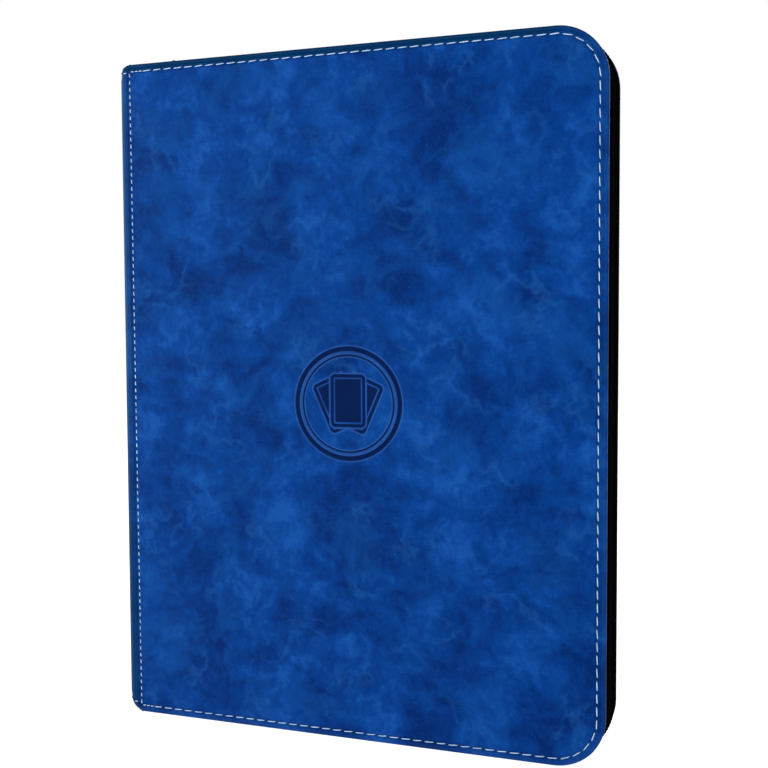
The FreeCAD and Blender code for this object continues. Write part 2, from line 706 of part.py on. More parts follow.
def cover_stitches(side, prefix):
    plane = side * value("%s - dims.groove_depth" % FACE)
    inset = value("dims.stitch_inset")
    left, right = value(HINGE), value(FORE) - inset
    low, high = inset, value("dims.cover_height") - inset
    radius = value("dims.corner_radius") - inset
    slant = radius * (1 - math.sqrt(0.5))

    def at(x, z):
        return V(x, plane, z)

    def outward(where):
        return V(0, side, 0)

    spine_gap = value("dims.edge_pitch / 2")
    edges = [
        Part.makeLine(at(left + spine_gap, low), at(right - radius, low)),
        Part.Arc(at(right - radius, low), at(right - slant, low + slant),
                 at(right, low + radius)).toShape(),
        Part.makeLine(at(right, low + radius), at(right, high - radius)),
        Part.Arc(at(right, high - radius), at(right - slant, high - slant),
                 at(right - radius, high)).toShape(),
        Part.makeLine(at(right - radius, high), at(left + spine_gap, high)),
    ]
    add_group(prefix + "_edge_stitches",
              stitches_along(Part.Wire(edges), value("dims.edge_pitch"), value("dims.edge_stitch"),
                             outward))
    hinge = Part.Wire([Part.makeLine(at(left, low), at(left, high))])
    add_group(prefix + "_hinge_stitches",
              stitches_along(hinge, value("dims.hinge_pitch"), value("dims.hinge_stitch"), outward))


def spine_stitches():
    """Threads round the hems at the top and bottom of the spine."""
    depth = value("dims.groove_depth")
    path = spine_path(depth)
    pieces = []
    for height in (LOW_HEM, HIGH_HEM):
        lift = V(0, 0, value(height))
        bends = (("start", "start_mid", "flank"), ("flank", "crown", "end_flank"),
                 ("end_flank", "end_mid", "end"))
        edges = [Part.Arc(*(path[name] + lift for name in bend)).toShape() for bend in bends]

        def outward(where):
            nearest = min(edges, key=lambda edge: edge.distToShape(Part.Vertex(where))[0])
            return (where - nearest.Curve.Center).normalize()

        pieces += stitches_along(Part.Wire(edges), value("dims.hinge_pitch"),
                                 value("dims.hinge_stitch"), outward)
    add_group("spine_stitches", pieces)


# ------------------------------------------------------------------------------- assembly
for side, prefix in ((FRONT, "front"), (BACK, "back")):
    make_cover(side, prefix)
    make_zip(side, prefix)
    cover_stitches(side, prefix)
make_slider()
make_puller()
make_spine()
spine_stitches()
make_binding()
for number in range(1, LEAVES + 1):
    make_leaf(number)
doc.recompute()


# --------------------------------------------------------------------- checks and export
def is_piece(obj):
    """Bodies, and the groups of clips or threads, are what the binder is made of."""
    if obj.TypeId == "PartDesign::Body" or obj.TypeId == "Part::Compound":
        return True
    return obj.TypeId == "Part::Feature"


for obj in doc.Objects:
    if any(word in ("Invalid", "Error") for word in obj.State):
        raise RuntimeError("%s is in state %s" % (obj.Label, obj.State))
pieces = [obj for obj in doc.Objects if is_piece(obj)]
for obj in pieces:
    if obj.Shape.isNull() or not obj.Shape.isValid() or not obj.Shape.Solids:
        raise RuntimeError("%s has no sound solid" % obj.Label)
for obj in pieces:
    obj.Shape.exportStep("parts/%s.step" % obj.Label)
    box = obj.Shape.BoundBox
    print("%-22s %3d solids %10.1f mm3  x %7.2f %7.2f  y %7.2f %7.2f  z %7.2f %7.2f" % (
        obj.Label, len(obj.Shape.Solids), obj.Shape.Volume,
        box.XMin, box.XMax, box.YMin, box.YMax, box.ZMin, box.ZMax))
print(len(pieces), "pieces")
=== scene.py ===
import json
import math
from collections import namedtuple

import bmesh
import bpy
import numpy as np
from mathutils import Matrix, Vector, noise


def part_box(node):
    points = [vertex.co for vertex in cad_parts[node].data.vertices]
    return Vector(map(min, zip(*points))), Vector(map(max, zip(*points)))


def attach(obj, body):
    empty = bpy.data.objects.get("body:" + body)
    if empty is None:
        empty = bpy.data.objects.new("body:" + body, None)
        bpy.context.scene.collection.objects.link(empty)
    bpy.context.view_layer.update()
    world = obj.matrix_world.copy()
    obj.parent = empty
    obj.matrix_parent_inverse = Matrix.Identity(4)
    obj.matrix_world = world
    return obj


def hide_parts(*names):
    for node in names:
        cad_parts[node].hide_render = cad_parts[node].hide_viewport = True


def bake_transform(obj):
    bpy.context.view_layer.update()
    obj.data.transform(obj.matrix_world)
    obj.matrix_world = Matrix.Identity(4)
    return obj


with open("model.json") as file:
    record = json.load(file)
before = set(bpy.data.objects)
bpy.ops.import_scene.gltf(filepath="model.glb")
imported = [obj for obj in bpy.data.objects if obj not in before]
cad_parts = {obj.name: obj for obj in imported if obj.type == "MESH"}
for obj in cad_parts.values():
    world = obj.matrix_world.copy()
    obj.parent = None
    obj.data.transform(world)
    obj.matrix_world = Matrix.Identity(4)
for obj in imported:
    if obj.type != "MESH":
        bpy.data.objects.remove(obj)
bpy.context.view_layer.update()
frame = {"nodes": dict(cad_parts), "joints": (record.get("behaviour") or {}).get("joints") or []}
nodes = frame["nodes"]
joints = {joint["name"]: joint for joint in frame["joints"]}

# Lengths are in millimetres, but for the camera's and the lights', and MM turns them into metres.
MM = 0.001


def box_mm(node):
    """A CAD node's lowest and highest corners, in millimetres."""
    low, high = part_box(node)
    return low / MM, high / MM


# ------------------------------------------------------------ sizes read from the frame
leather_low, leather_high = box_mm("front_cover_leather")
hinge_low, hinge_high = box_mm("front_hinge_stitches")
edge_high = box_mm("front_edge_stitches")[1]
spine_low, spine_high = box_mm("spine_leather")
lining_low, lining_high = box_mm("front_cover_lining")
gusset_low, gusset_high = box_mm("front_gusset")
tape_low, tape_high = box_mm("front_zip_tape")
chain_low, chain_high = box_mm("front_zip_chain")

FORE = leather_high.x
HEIGHT = leather_high.z
FACE = -leather_low.y
HINGE = (hinge_low.x + hinge_high.x) / 2
THREAD_WIDE = hinge_high.x - hinge_low.x
STITCH_INSET = FORE - edge_high.x + THREAD_WIDE / 2
PIVOT = joints["front_cover_hinge"]["pos_m"][0] / MM
CROWN = spine_low.x
SPINE_HALF = spine_high.y
SPINE_FOOT = spine_low.z                             # the spine's ends stop short of the covers'
SPINE_HEAD = HEIGHT - spine_high.z
INNER = -lining_high.y
COVER_THICK = FACE - INNER
SPINE_INNER = box_mm("page_binding")[0].x
BAND_LOW = gusset_low.z - (FORE - gusset_high.x)     # foot of the path that the zip follows

CORNER = 25.0                      # fore-edge corners of the covers
CORNER_REACH = 80                  # columns this near the fore edge are drawn in at the corners
SPINE_ROUND = 5.5                  # rounding between a cover and the back of the spine
DOME = PIVOT - CROWN - SPINE_ROUND
RIM = 7.0                          # width of the border that is built as rings
EDGE_ROUND = 1.5
HEM = 2.4                          # leather turned in behind the edge
PRESS_DEPTH = 0.5
EDGE_DROP = 0.7                    # fall of the leather from the stitching to the edge
SPINE_SWELL = 0.5                  # swell of the padded spine at its head
SPINE_SETTLE = 1.3                 # further swell towards its foot
FOLD_DIP = 1.1                     # how far the lining is tucked into the fold
STITCH_DENT = 0.42                 # depth of the channel that the edge stitches lie in
HINGE_DENT = 0.36                  # and of the one beside the spine
BORDER_SINK = 0.22                 # leather pulled down beside the edge stitches
HINGE_SINK = 0.15                  # and beside the hinge stitches
SKIN_SUNK = 0.15                   # the flat leather's depth inside the CAD's face
EMBLEM_ACROSS = HINGE + 123.4
EMBLEM_UP = 172.3
EMBLEM_RADIUS = 29.0
FRONT, BACK = -1, 1
PREFIX = {FRONT: "front", BACK: "back"}


# ---------------------------------------------------------------------- mesh utilities
def place_object(name, data):
    """A new object in the scene."""
    thing = bpy.data.objects.new(name, data)
    bpy.context.scene.collection.objects.link(thing)
    return thing


def new_object(name, points, faces, smooth=True):
    """A mesh object from points in millimetres."""
    mesh = bpy.data.meshes.new(name)
    mesh.from_pydata((np.asarray(points, float) * MM).tolist(), [], faces)
    mesh.polygons.foreach_set("use_smooth", [smooth] * len(mesh.polygons))
    mesh.update()
    return place_object(name, mesh)


def add_point_value(thing, name, values):
    """One number for each vertex, for a material to read."""
    attribute = thing.data.attributes.new(name, "FLOAT", "POINT")
    attribute.data.foreach_set("value", np.asarray(values, np.float32))


def add_uv(thing, uv):
    """A UV map with one unit for each 100 mm of cloth or leather."""
    layer = thing.data.uv_layers.new(name="UVMap")
    corner_vertex = np.zeros(len(thing.data.loops), int)
    thing.data.loops.foreach_get("vertex_index", corner_vertex)
    layer.data.foreach_set("uv", (np.asarray(uv, float) / 100)[corner_vertex].ravel())


def finish_piece(thing, material, body, replaced=()):
    """Give a piece its material, its body and the CAD nodes that it stands for."""
    thing.data.materials.append(material)
    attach(thing, body)
    if replaced:
        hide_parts(*replaced)
    return thing


def spread(start, end, step):
    """Evenly spaced values from start up to, but not including, end."""
    count = max(1, round(abs(end - start) / step))
    return list(np.linspace(start, end, count, endpoint=False))


def smooth_step(low, high, value):
    """From 0 at low to 1 at high, easing in and out."""
    share = np.clip((value - low) / (high - low), 0, 1)
    return share * share * (3 - 2 * share)


def grid_faces(rows, columns, flip=False):
    """Quads over a grid of points, numbered row by row."""
    faces = []
    for row in range(rows - 1):
        for column in range(columns - 1):
            a = row * columns + column
            quad = (a, a + 1, a + columns + 1, a + columns)
            faces.append(quad[::-1] if flip else quad)
    return faces


def ring_faces(rings, size, first=0):
    """Quads between closed rings of points, numbered ring by ring, and a cap on both ends."""
    faces = []
    for ring in range(rings - 1):
        for number in range(size):
            a = first + ring * size + number
            b = first + ring * size + (number + 1) % size
            faces.append((a, b, b + size, a + size))
    faces.append(tuple(range(first, first + size))[::-1])
    faces.append(tuple(range(first + (rings - 1) * size, first + rings * size)))
    return faces


def run_along(path):
    """The length run up to each point of a path in a plane."""
    return np.concatenate([[0], np.cumsum(np.hypot(*np.diff(path, axis=0).T))])


def directions(path):
    """The path's unit direction at each of its points."""
    ahead = np.gradient(path, axis=0)
    return ahead / np.linalg.norm(ahead, axis=1)[:, None]


def both_halves(half):
    """The front half of a profile, run backwards, and on into its mirror image."""
    return np.concatenate([half[::-1], half[1:] * [1, -1]])


def waves(x, z, size, seed):
    """Smooth random unevenness, about size across."""
    heights = [noise.noise(Vector((a / size, b / size, seed))) for a, b in zip(x.ravel(), z.ravel())]
    return np.array(heights).reshape(x.shape)


# --------------------------------------------------------------- the leather's cross-cut
def hermite(start, end, start_slope, end_slope, count):
    """Points of a smooth curve from start up to, but not including, end."""
    share = np.linspace(0, 1, count, endpoint=False)[:, None]
    s2, s3 = share ** 2, share ** 3
    return ((2 * s3 - 3 * s2 + 1) * start + (s3 - 2 * s2 + share) * start_slope
            + (3 * s2 - 2 * s3) * end + (s3 - s2) * end_slope)


def leather_profile(step, emblem_step):
    """Points (x, y) of the front half's outer face, seen from above.

    They run from the middle of the spine, round its shoulder, down into the fold beside
    the hinge stitching and then along the flat of the cover to the start of the rim."""
    flank = SPINE_HALF - SPINE_ROUND
    dome_radius = (flank ** 2 + DOME ** 2) / (2 * DOME)
    dome_centre = CROWN + dome_radius
    points = []
    for angle in np.linspace(0, math.asin(flank / dome_radius), 9):
        points.append((dome_centre - dome_radius * math.cos(angle), -dome_radius * math.sin(angle)))
    for angle in np.radians(np.arange(14, 75, 6)):
        points.append((PIVOT - SPINE_ROUND * math.cos(angle), -flank - SPINE_ROUND * math.sin(angle)))
    shoulder = np.array(points[-1])
    fold = np.array([PIVOT + 0.3, -SPINE_HALF + 0.7])
    lip = np.array([HINGE - 0.7, -FACE + SKIN_SUNK])
    down = np.array([1.6, -0.4])
    points += hermite(shoulder, fold, down, np.array([1.4, 0.0]), 9).tolist()
    points += hermite(fold, lip, np.array([0.9, 0.0]), np.array([1.4, 0.0]), 7).tolist()
    across = (spread(HINGE - 0.7, HINGE + 0.8, 0.15) + spread(HINGE + 0.8, HINGE + 5, 0.7))
    if emblem_step:
        left, right = EMBLEM_ACROSS - EMBLEM_RADIUS - 1, EMBLEM_ACROSS + EMBLEM_RADIUS + 1
        across += spread(HINGE + 5, left, step) + spread(left, right, emblem_step)
        across += spread(right, FORE - RIM, step)
    else:
        across += spread(HINGE + 5, FORE - RIM, step)
    points += [(x, -FACE + SKIN_SUNK) for x in across + [FORE - RIM]]
    return np.array(points)


def rounded_rows(low, high, corner, straight):
    """Heights of rows from low to high, and how far a round corner draws in each one's end."""
    turn = np.radians(np.linspace(0, 90, 16, endpoint=False))
    heights = list(low + corner * (1 - np.cos(turn)))
    ends = list(corner * (1 - np.sin(turn)))
    heights += straight
    ends += [0.0] * len(straight)
    turn = np.radians(np.linspace(0, 90, 17))
    heights += list(high - corner * (1 - np.sin(turn)))
    ends += list(corner * (1 - np.cos(turn)))
    return np.array(heights), np.array(ends)


def leather_rows(step, emblem_step):
    """The leather's rows, closer together across the emblem."""
    if not emblem_step:
        straight = spread(CORNER, HEIGHT - CORNER, step)
    else:
        bottom, top = EMBLEM_UP - EMBLEM_RADIUS - 1, EMBLEM_UP + EMBLEM_RADIUS + 1
        straight = (spread(CORNER, bottom, step) + spread(bottom, top, emblem_step)
                    + spread(top, HEIGHT - CORNER, step))
    return rounded_rows(RIM, HEIGHT - RIM, CORNER - RIM, straight)


def draw_in(across, start, end):
    """Share of a row's drawing-in that a column takes: 0 up to start, 1 at the end."""
    return np.clip((across - start) / (end - start), 0, 1)


def edge_distance(x, z):
    """How far a point of the cover is inside its outline."""
    right = x - (FORE - CORNER)
    up = np.abs(z - HEIGHT / 2) - (HEIGHT / 2 - CORNER)
    beyond = np.hypot(np.maximum(right, 0), np.maximum(up, 0))
    return CORNER - beyond - np.minimum(np.maximum(right, up), 0)


def round_box(x, z, half_wide, half_high, corner):
    """Distance from a rounded rectangle's outline, negative inside it."""
    right = np.abs(x) - half_wide + corner
    up = np.abs(z) - half_high + corner
    return np.hypot(np.maximum(right, 0), np.maximum(up, 0)) + np.minimum(np.maximum(right, up), 0) - corner


def emblem_press(x, z):
    """The emblem, a double ring round a fan of three blank cards: depth, darkness and lit rims.

    All three run from 0 to 1."""
    x, z = x - EMBLEM_ACROSS, z - EMBLEM_UP
    radius = np.hypot(x, z)
    soft = 0.3
    depth = np.zeros_like(x)
    lit = np.zeros_like(x)
    for outer, wide in ((EMBLEM_RADIUS, 2.6), (EMBLEM_RADIUS - 4.0, 1.1)):
        ring = np.abs(radius - outer + wide / 2) - wide / 2
        depth = np.maximum(depth, 1 - smooth_step(-soft, soft, ring))
        lit = np.maximum(lit, np.exp(-((ring - 0.25) / 0.3) ** 2))
    dark = depth.copy()
    for splay, deep in ((24, 0.65), (-24, 0.65), (0, 1.0)):
        tilt = math.radians(splay)
        across = x * math.cos(tilt) + (z + 12) * math.sin(tilt)
        up = -x * math.sin(tilt) + (z + 12) * math.cos(tilt)
        card = round_box(across, up - 13.5, 9.5, 13.5, 2.5)
        clear = 1 - smooth_step(0.5, 1.1, card)
        inside = 1 - smooth_step(-soft, soft, card)
        frame_line = 1 - smooth_step(0.2, 0.55, np.abs(card + 2.2))
        depth = depth * (1 - clear) + inside * deep * (1 - 0.6 * frame_line)
        dark = dark * (1 - clear) + inside * (1 - 0.85 * frame_line)
        edges = np.maximum(np.exp(-((card - 0.25) / 0.3) ** 2), 0.5 * np.exp(-((card + 2.2) / 0.3) ** 2))
        lit = np.maximum(lit * (1 - clear), edges)
    return depth, dark, lit


def leather_relief(x, z, distance, with_emblem):
    """Height of the leather over the flat cover: channels, padding, waves and the emblem."""
    height = -STITCH_DENT * np.exp(-((distance - STITCH_INSET) / 0.55) ** 2)
    height = np.minimum(height, -HINGE_DENT * np.exp(-((x - HINGE) / 0.5) ** 2))
    height -= BORDER_SINK * (1 - smooth_step(STITCH_INSET, 30, distance)) * (distance > STITCH_INSET)
    height -= BORDER_SINK * np.exp(-((distance - STITCH_INSET) / 0.9) ** 2) * (distance <= STITCH_INSET)
    height -= HINGE_SINK * (1 - smooth_step(HINGE, HINGE + 25, x)) * (x > HINGE)
    wave = waves(x, z, 42, 3.0) + 0.4 * waves(x, z, 15, 8.0)
    height += 0.10 * wave * smooth_step(2, 20, distance)
    if not with_emblem:
        return height, np.zeros_like(x), np.zeros_like(x)
    depth, dark, lit = emblem_press(x, z)
    return height - PRESS_DEPTH * depth, dark, lit


def ring_stations():
    """Across the rim: (distance from the edge, depth below the face, leather used, behind the edge).

    They run from the flat over the stitching, round the edge and in under the turned hem."""
    stations = [(d, 0.0, RIM - d, False) for d in
                (6.2, 5.5, 5.0, 4.7, 4.45, 4.2, 4.0, 3.8, 3.55, 3.3, 3.0, 2.5, 2.0, EDGE_ROUND)]
    used = RIM - EDGE_ROUND
    for angle in np.radians(np.arange(15, 91, 15)):
        fall = EDGE_DROP + (EDGE_ROUND - EDGE_DROP) * (1 - math.cos(angle))
        stations.append((EDGE_ROUND * (1 - math.sin(angle)), fall, used + EDGE_ROUND * angle, False))
    used = stations[-1][2]
    inner_round, hem_thick = 0.7, 0.7
    flat = COVER_THICK - hem_thick - EDGE_ROUND - inner_round
    stations.append((0.0, EDGE_ROUND + flat, used + flat, True))
    for angle in np.radians((30, 60, 90)):
        stations.append((inner_round * (1 - math.cos(angle)),
                         EDGE_ROUND + flat + inner_round * math.sin(angle),
                         used + flat + inner_round * angle, True))
    stations.append((HEM, stations[-1][1], stations[-1][2] + HEM - inner_round, True))
    return stations


def rim_painted_shade(inset, across, up):
    """Painted shade: the leather beyond the stitching a little darker all round and much darker along the
    top, and darker in the stitched channel.
    """
    border = 1 - smooth_step(STITCH_INSET - 1, STITCH_INSET + 1, inset)
    channel = 0.5 * np.exp(-((inset - STITCH_INSET) / 0.8) ** 2)
    along_top = smooth_step(HEIGHT - 25, HEIGHT - 8, up) * (1 - smooth_step(FORE - 32, FORE - 10, across))
    return np.maximum(border * (0.15 + 0.85 * along_top), channel)


def spine_foot_painted_shade(across, up):
    """Painted shade: darker leather towards the spine's foot."""
    low_down = 1 - smooth_step(0.15 * HEIGHT, 0.65 * HEIGHT, up)
    return 0.7 * smooth_step(PIVOT + 0.5, PIVOT - 1.5, across) * low_down


def spine_swell(across, up):
    """How far the padded spine stands out beyond its even section."""
    return smooth_step(PIVOT, PIVOT - 3, across) * (SPINE_SWELL + SPINE_SETTLE * (1 - up / HEIGHT))


def drawn_between(up, share):
    """Heights on the spine, whose two ends are drawn in from the covers' by a share of the whole."""
    return up + share * (SPINE_FOOT * (1 - up / HEIGHT) - SPINE_HEAD * up / HEIGHT)


def steady_normals(run, across, normal):
    """The profile's normals, evened out over the fold so that the lines along them don't cross there."""
    near = np.exp(-((run[:, None] - run[None, :]) / 2.2) ** 2) * np.gradient(run)[None, :]
    even = near @ normal
    even /= np.linalg.norm(even, axis=1)[:, None]
    share = smooth_step(CROWN + 1, PIVOT - 2, across)[:, None]
    mixed = normal * (1 - share) + even * share
    return mixed / np.linalg.norm(mixed, axis=1)[:, None]


def hem_growth(across):
    """How much further the hem reaches in than on the cover: more on the spine, less in the fold."""
    return np.interp(across, [CROWN, PIVOT - 2.5, PIVOT - 0.8, PIVOT + 1.2, HINGE + 1.5],
                     [SPINE_INNER - CROWN - COVER_THICK, 0, -1.8, -1.8, 0])


def out_of_cover(x, z, row_end):
    """Direction out of the cover's outline at a border point: down or up at a row end, else sideways."""
    if row_end:
        return np.array([0.0, 0.0, float(row_end)])
    away = np.array([max(x - (FORE - CORNER), 0.0), z - np.clip(z, CORNER, HEIGHT - CORNER)])
    away = away / np.hypot(*away)
    return np.array([away[0], 0.0, away[1]])


def border_of(rows, columns):
    """The open chain of (row, column, row end): along the bottom, up the fore edge, back along the top."""
    border = [(0, column, -1) for column in range(columns - 1)]
    border += [(row, columns - 1, 0) for row in range(rows)]
    border += [(rows - 1, column, 1) for column in range(columns - 2, -1, -1)]
    return border


# What the rim starts from: the flat's grids x, y, z and u, the direction inwards, how much further the hem
# reaches in, which columns lie on the cover, the painted shade of its columns in the fold, and the painted
# highlight that runs on over the spine's ends.
RimStart = namedtuple("RimStart", "x y z u steady growth on_cover fold pull")


def add_rim(side, flat, points, uv, tones, faces):
    """Add rings of points over the stitching, round the edge and in under the hem."""
    rows, columns = flat.x.shape
    border = border_of(rows, columns)
    previous = [row * columns + column for row, column, _ in border]
    for inset, depth, used, behind in ring_stations():
        current = []
        # A painted highlight along the rolled edge.
        painted_edge_highlight = 0.45 * math.exp(-((depth - 0.35) / 0.35) ** 2) if inset < STITCH_INSET - 2 else 0.0
        for row, column, row_end in border:
            x, y, z = (grid[row, column] for grid in (flat.x, flat.y, flat.z))
            out = out_of_cover(x, z, row_end)
            sunk = depth + flat.growth[row, column] * behind
            if depth == 0.0:
                sunk -= rim_relief(x, inset, flat.on_cover[column])
            inwards = np.array([-flat.steady[column, 0], -flat.steady[column, 1], 0.0])
            current.append(len(points))
            points.append((np.array([x, y, z]) + (RIM - inset) * out + sunk * inwards).tolist())
            uv.append((flat.u[row, column] + used * out[0], z + used * out[2]))
            # Painted shade beyond the stitching, in the stitched channel, in the fold and towards the spine's
            # foot.
            shade = max(float(rim_painted_shade(inset, x, z)), flat.fold[column], float(spine_foot_painted_shade(x, z)))
            for name, value in (("press", 0.0), ("rim", shade), ("painted_emblem_highlight", 0.0),
                                ("pull", max(painted_edge_highlight, flat.pull[row, column]))):
                tones[name].append(value)
        for a, b, c, d in zip(previous, current, current[1:], previous[1:]):
            faces.append((d, c, b, a) if side == BACK else (a, b, c, d))
        previous = current


def build_leather(side, step, emblem_step):
    """One half of the cover: from the middle of the spine to the fore edge, in one piece."""
    profile = leather_profile(step, emblem_step)
    rows, ends = leather_rows(step, emblem_step)
    across, run = profile[:, 0], run_along(profile)
    slope = directions(profile)
    normal = np.stack([slope[:, 1], -slope[:, 0]], axis=1)

    # the flat, whose round corners draw in only the columns near the fore edge
    drawn = ends[:, None] * draw_in(across, FORE - RIM - 0.75 * CORNER_REACH, FORE - RIM)[None, :]
    swell = spine_swell(across[None, :], rows[:, None])
    x = across[None, :] - drawn - swell
    y = np.repeat(profile[None, :, 1], len(rows), 0)
    spine_share = smooth_step(PIVOT + 0.5, PIVOT - 4, across)[None, :]
    z = drawn_between(np.repeat(rows[:, None], len(profile), 1), spine_share)
    u = run[None, :] - drawn
    on_cover = across > HINGE - 1.2
    distance = np.where(on_cover[None, :], edge_distance(x, z), np.minimum(rows, HEIGHT - rows)[:, None])
    # The third value holds the emblem's painted highlights along the rims of its pressed shapes.
    relief, press, painted_emblem_highlight = leather_relief(x, z, distance, emblem_step > 0)
    relief = np.where(on_cover[None, :], relief, 0)
    grid = np.stack([x + relief * normal[None, :, 0], y + relief * normal[None, :, 1], z], axis=2)

    # tones: painted shade in the fold, beyond the stitching and towards the spine's foot, and a painted
    # highlight on the spine's shoulder
    fold = 0.9 * np.exp(-((across - PIVOT - 0.4) / 0.8) ** 2)
    shoulder = np.where(across < PIVOT, np.exp(-((across - PIVOT + 3.6) / 2.2) ** 2), 0)
    painted_highlight_height = 0.2 + 0.8 * smooth_step(0.3 * HEIGHT, 0.7 * HEIGHT, rows)
    rim = np.maximum(np.maximum(rim_painted_shade(distance, x, z), fold[None, :]), spine_foot_painted_shade(x, z))
    points = grid.reshape(-1, 3).tolist()
    uv = np.stack([u, z], axis=2).reshape(-1, 2).tolist()
    pull = shoulder[None, :] * painted_highlight_height[:, None]
    tones = {"press": press, "rim": rim, "pull": pull, "painted_emblem_highlight": painted_emblem_highlight}
    tones = {name: values.ravel().tolist() for name, values in tones.items()}
    faces = grid_faces(len(rows), len(profile), flip=side == BACK)

    rim_start = RimStart(x, y, z, u, steady_normals(run, across, normal), hem_growth(across)[None, :] + swell,
                         on_cover, fold, pull)
    add_rim(side, rim_start, points, uv, tones, faces)

    mirror = side * FRONT
    leather = new_object(PREFIX[side] + "_leather", np.array(points) * [1, mirror, 1], faces)
    add_uv(leather, np.array(uv) * [mirror, 1])
    for name, values in tones.items():
        add_point_value(leather, name, values)
    return leather


def rim_relief(across, inset, on_cover):
    """The same relief as on the flat, for the rings of the rim."""
    height = -STITCH_DENT * math.exp(-((inset - STITCH_INSET) / 0.55) ** 2)
    if on_cover:
        height = min(height, -HINGE_DENT * math.exp(-((across - HINGE) / 0.5) ** 2))
    if inset > STITCH_INSET:
        height -= BORDER_SINK
    else:
        height -= BORDER_SINK * math.exp(-((inset - STITCH_INSET) / 0.9) ** 2)
        height -= EDGE_DROP * float(smooth_step(STITCH_INSET - 0.8, EDGE_ROUND, inset))
    if across > HINGE:
        height -= HINGE_SINK * (1 - float(smooth_step(HINGE, HINGE + 25, across)))
    return height


# ------------------------------------------------------------------------------ outline
def open_side_lengths(start, low, inset):
    """Lengths of the straight lower run, a corner and the fore edge."""
    return FORE - CORNER - start, (CORNER - inset) * math.pi / 2, HEIGHT - 2 * (CORNER + low)


def open_side_length(start=HINGE, low=0.0, inset=0.0):
    """Length of the whole path round the three open sides."""
    straight, quarter, rise = open_side_lengths(start, low, inset)
    return 2 * straight + 2 * quarter + rise


def open_side_at(along, start=HINGE, low=0.0, inset=0.0):
    """A point of the path round the three open sides, and its direction: (x, z, to x, to z).

    The path starts at the lower run's spine end, low above the foot, and keeps inside the
    cover's outline by an inset.  Outward from it is (to z, -to x)."""
    straight, quarter, rise = open_side_lengths(start, low, inset)
    radius = CORNER - inset
    centre = FORE - CORNER
    if along < straight:
        return start + along, low + inset, 1.0, 0.0
    along -= straight
    if along < quarter:
        turn = along / radius
        return (centre + radius * math.sin(turn), low + CORNER - radius * math.cos(turn),
                math.cos(turn), math.sin(turn))
    along -= quarter
    if along < rise:
        return FORE - inset, low + CORNER + along, 0.0, 1.0
    along -= rise
    if along < quarter:
        turn = along / radius
        return (centre + radius * math.cos(turn), HEIGHT - low - CORNER + radius * math.sin(turn),
                -math.sin(turn), math.cos(turn))
    return centre - (along - quarter), HEIGHT - low - inset, -1.0, 0.0


# ------------------------------------------------------------------------------ threads
EDGE_PITCH, EDGE_STITCH = 6.2, 4.9            # stitches round the open sides
HINGE_PITCH, HINGE_STITCH = 3.7, 2.3          # finer ones beside the spine and round its ends
THREAD_ACROSS, THREAD_HIGH = 0.54, 0.46
THREAD_SLANT = 3.5                 # degrees off the row's line
THREAD_SUNK = 0.30                 # depth of a stitch's middle inside the CAD's face


def thread_template(long, wide, high):
    """A short piece of twisted thread along X, tapered and dipping at its ends."""
    rings, sides = 9, 8
    points = []
    for ring in range(rings):
        share = 2 * ring / (rings - 1) - 1
        full = (1 - abs(share) ** 5) ** 0.5 if abs(share) < 1 else 0.12
        dip = -0.55 * high * share ** 4
        for side in range(sides):
            angle = 2 * math.pi * side / sides + 0.5 * share
            points.append((share * long / 2, 0.5 * wide * full * math.cos(angle),
                           0.5 * high * full * math.sin(angle) + dip))
    return np.array(points), ring_faces(rings, sides)


def lay_threads(name, places, long):
    """Copies of one thread at (position, direction, outward, share of the length) places.

    Each lies a few degrees off the row's line, as machine stitches do."""
    template, faces = thread_template(long, THREAD_ACROSS, THREAD_HIGH)
    points, all_faces, shade = [], [], []
    for number, (position, along, outward, share) in enumerate(places):
        along, outward = np.array(along), np.array(outward)
        across = np.cross(outward, along)
        lean = math.radians(THREAD_SLANT + 2.5 * noise.noise(Vector((number * 0.7, 1.3, 0))))
        direction = along * math.cos(lean) + across * math.sin(lean)
        sideways = np.cross(outward, direction)
        scale = share * (1 + 0.05 * noise.noise(Vector((number * 0.9, 5.1, 0))))
        turned = (template[:, :1] * scale * direction + template[:, 1:2] * sideways
                  + template[:, 2:] * outward)
        start = len(points)
        points += (turned + np.array(position)).tolist()
        all_faces += [tuple(start + index for index in face) for face in faces]
        shade += [0.5 + 0.5 * noise.noise(Vector((number * 0.37, 9.4, 0)))] * len(template)
    threads = new_object(name, points, all_faces)
    add_point_value(threads, "shade", shade)
    return threads


def edge_places(side, plane):
    """Places for the stitches along the open sides, with short back-tacks at both ends."""
    total = open_side_length(inset=STITCH_INSET)
    tack = 2.4
    tacked = 3 * tack
    runs = [((number + 0.7) * tack, 0.38) for number in range(3)]
    runs += [(total - along, share) for along, share in runs]
    count = round((total - 2 * tacked) / EDGE_PITCH)
    step = (total - 2 * tacked) / count
    runs += [(tacked + (number + 0.5) * step, 1.0) for number in range(count)]
    places = []
    for along, share in runs:
        x, z, right, up = open_side_at(along, inset=STITCH_INSET)
        places.append(((x, side * plane, z), (right, 0, up), (0, side, 0), share))
    return places


def hinge_places(side, plane):
    """Places for the stitches beside the spine."""
    low, high = STITCH_INSET, HEIGHT - STITCH_INSET
    count = int((high - low) / HINGE_PITCH)
    step = (high - low) / count
    return [((HINGE, side * plane, low + (number + 0.5) * step), (0, 0, 1), (0, side, 0), 1.0)
            for number in range(count)]


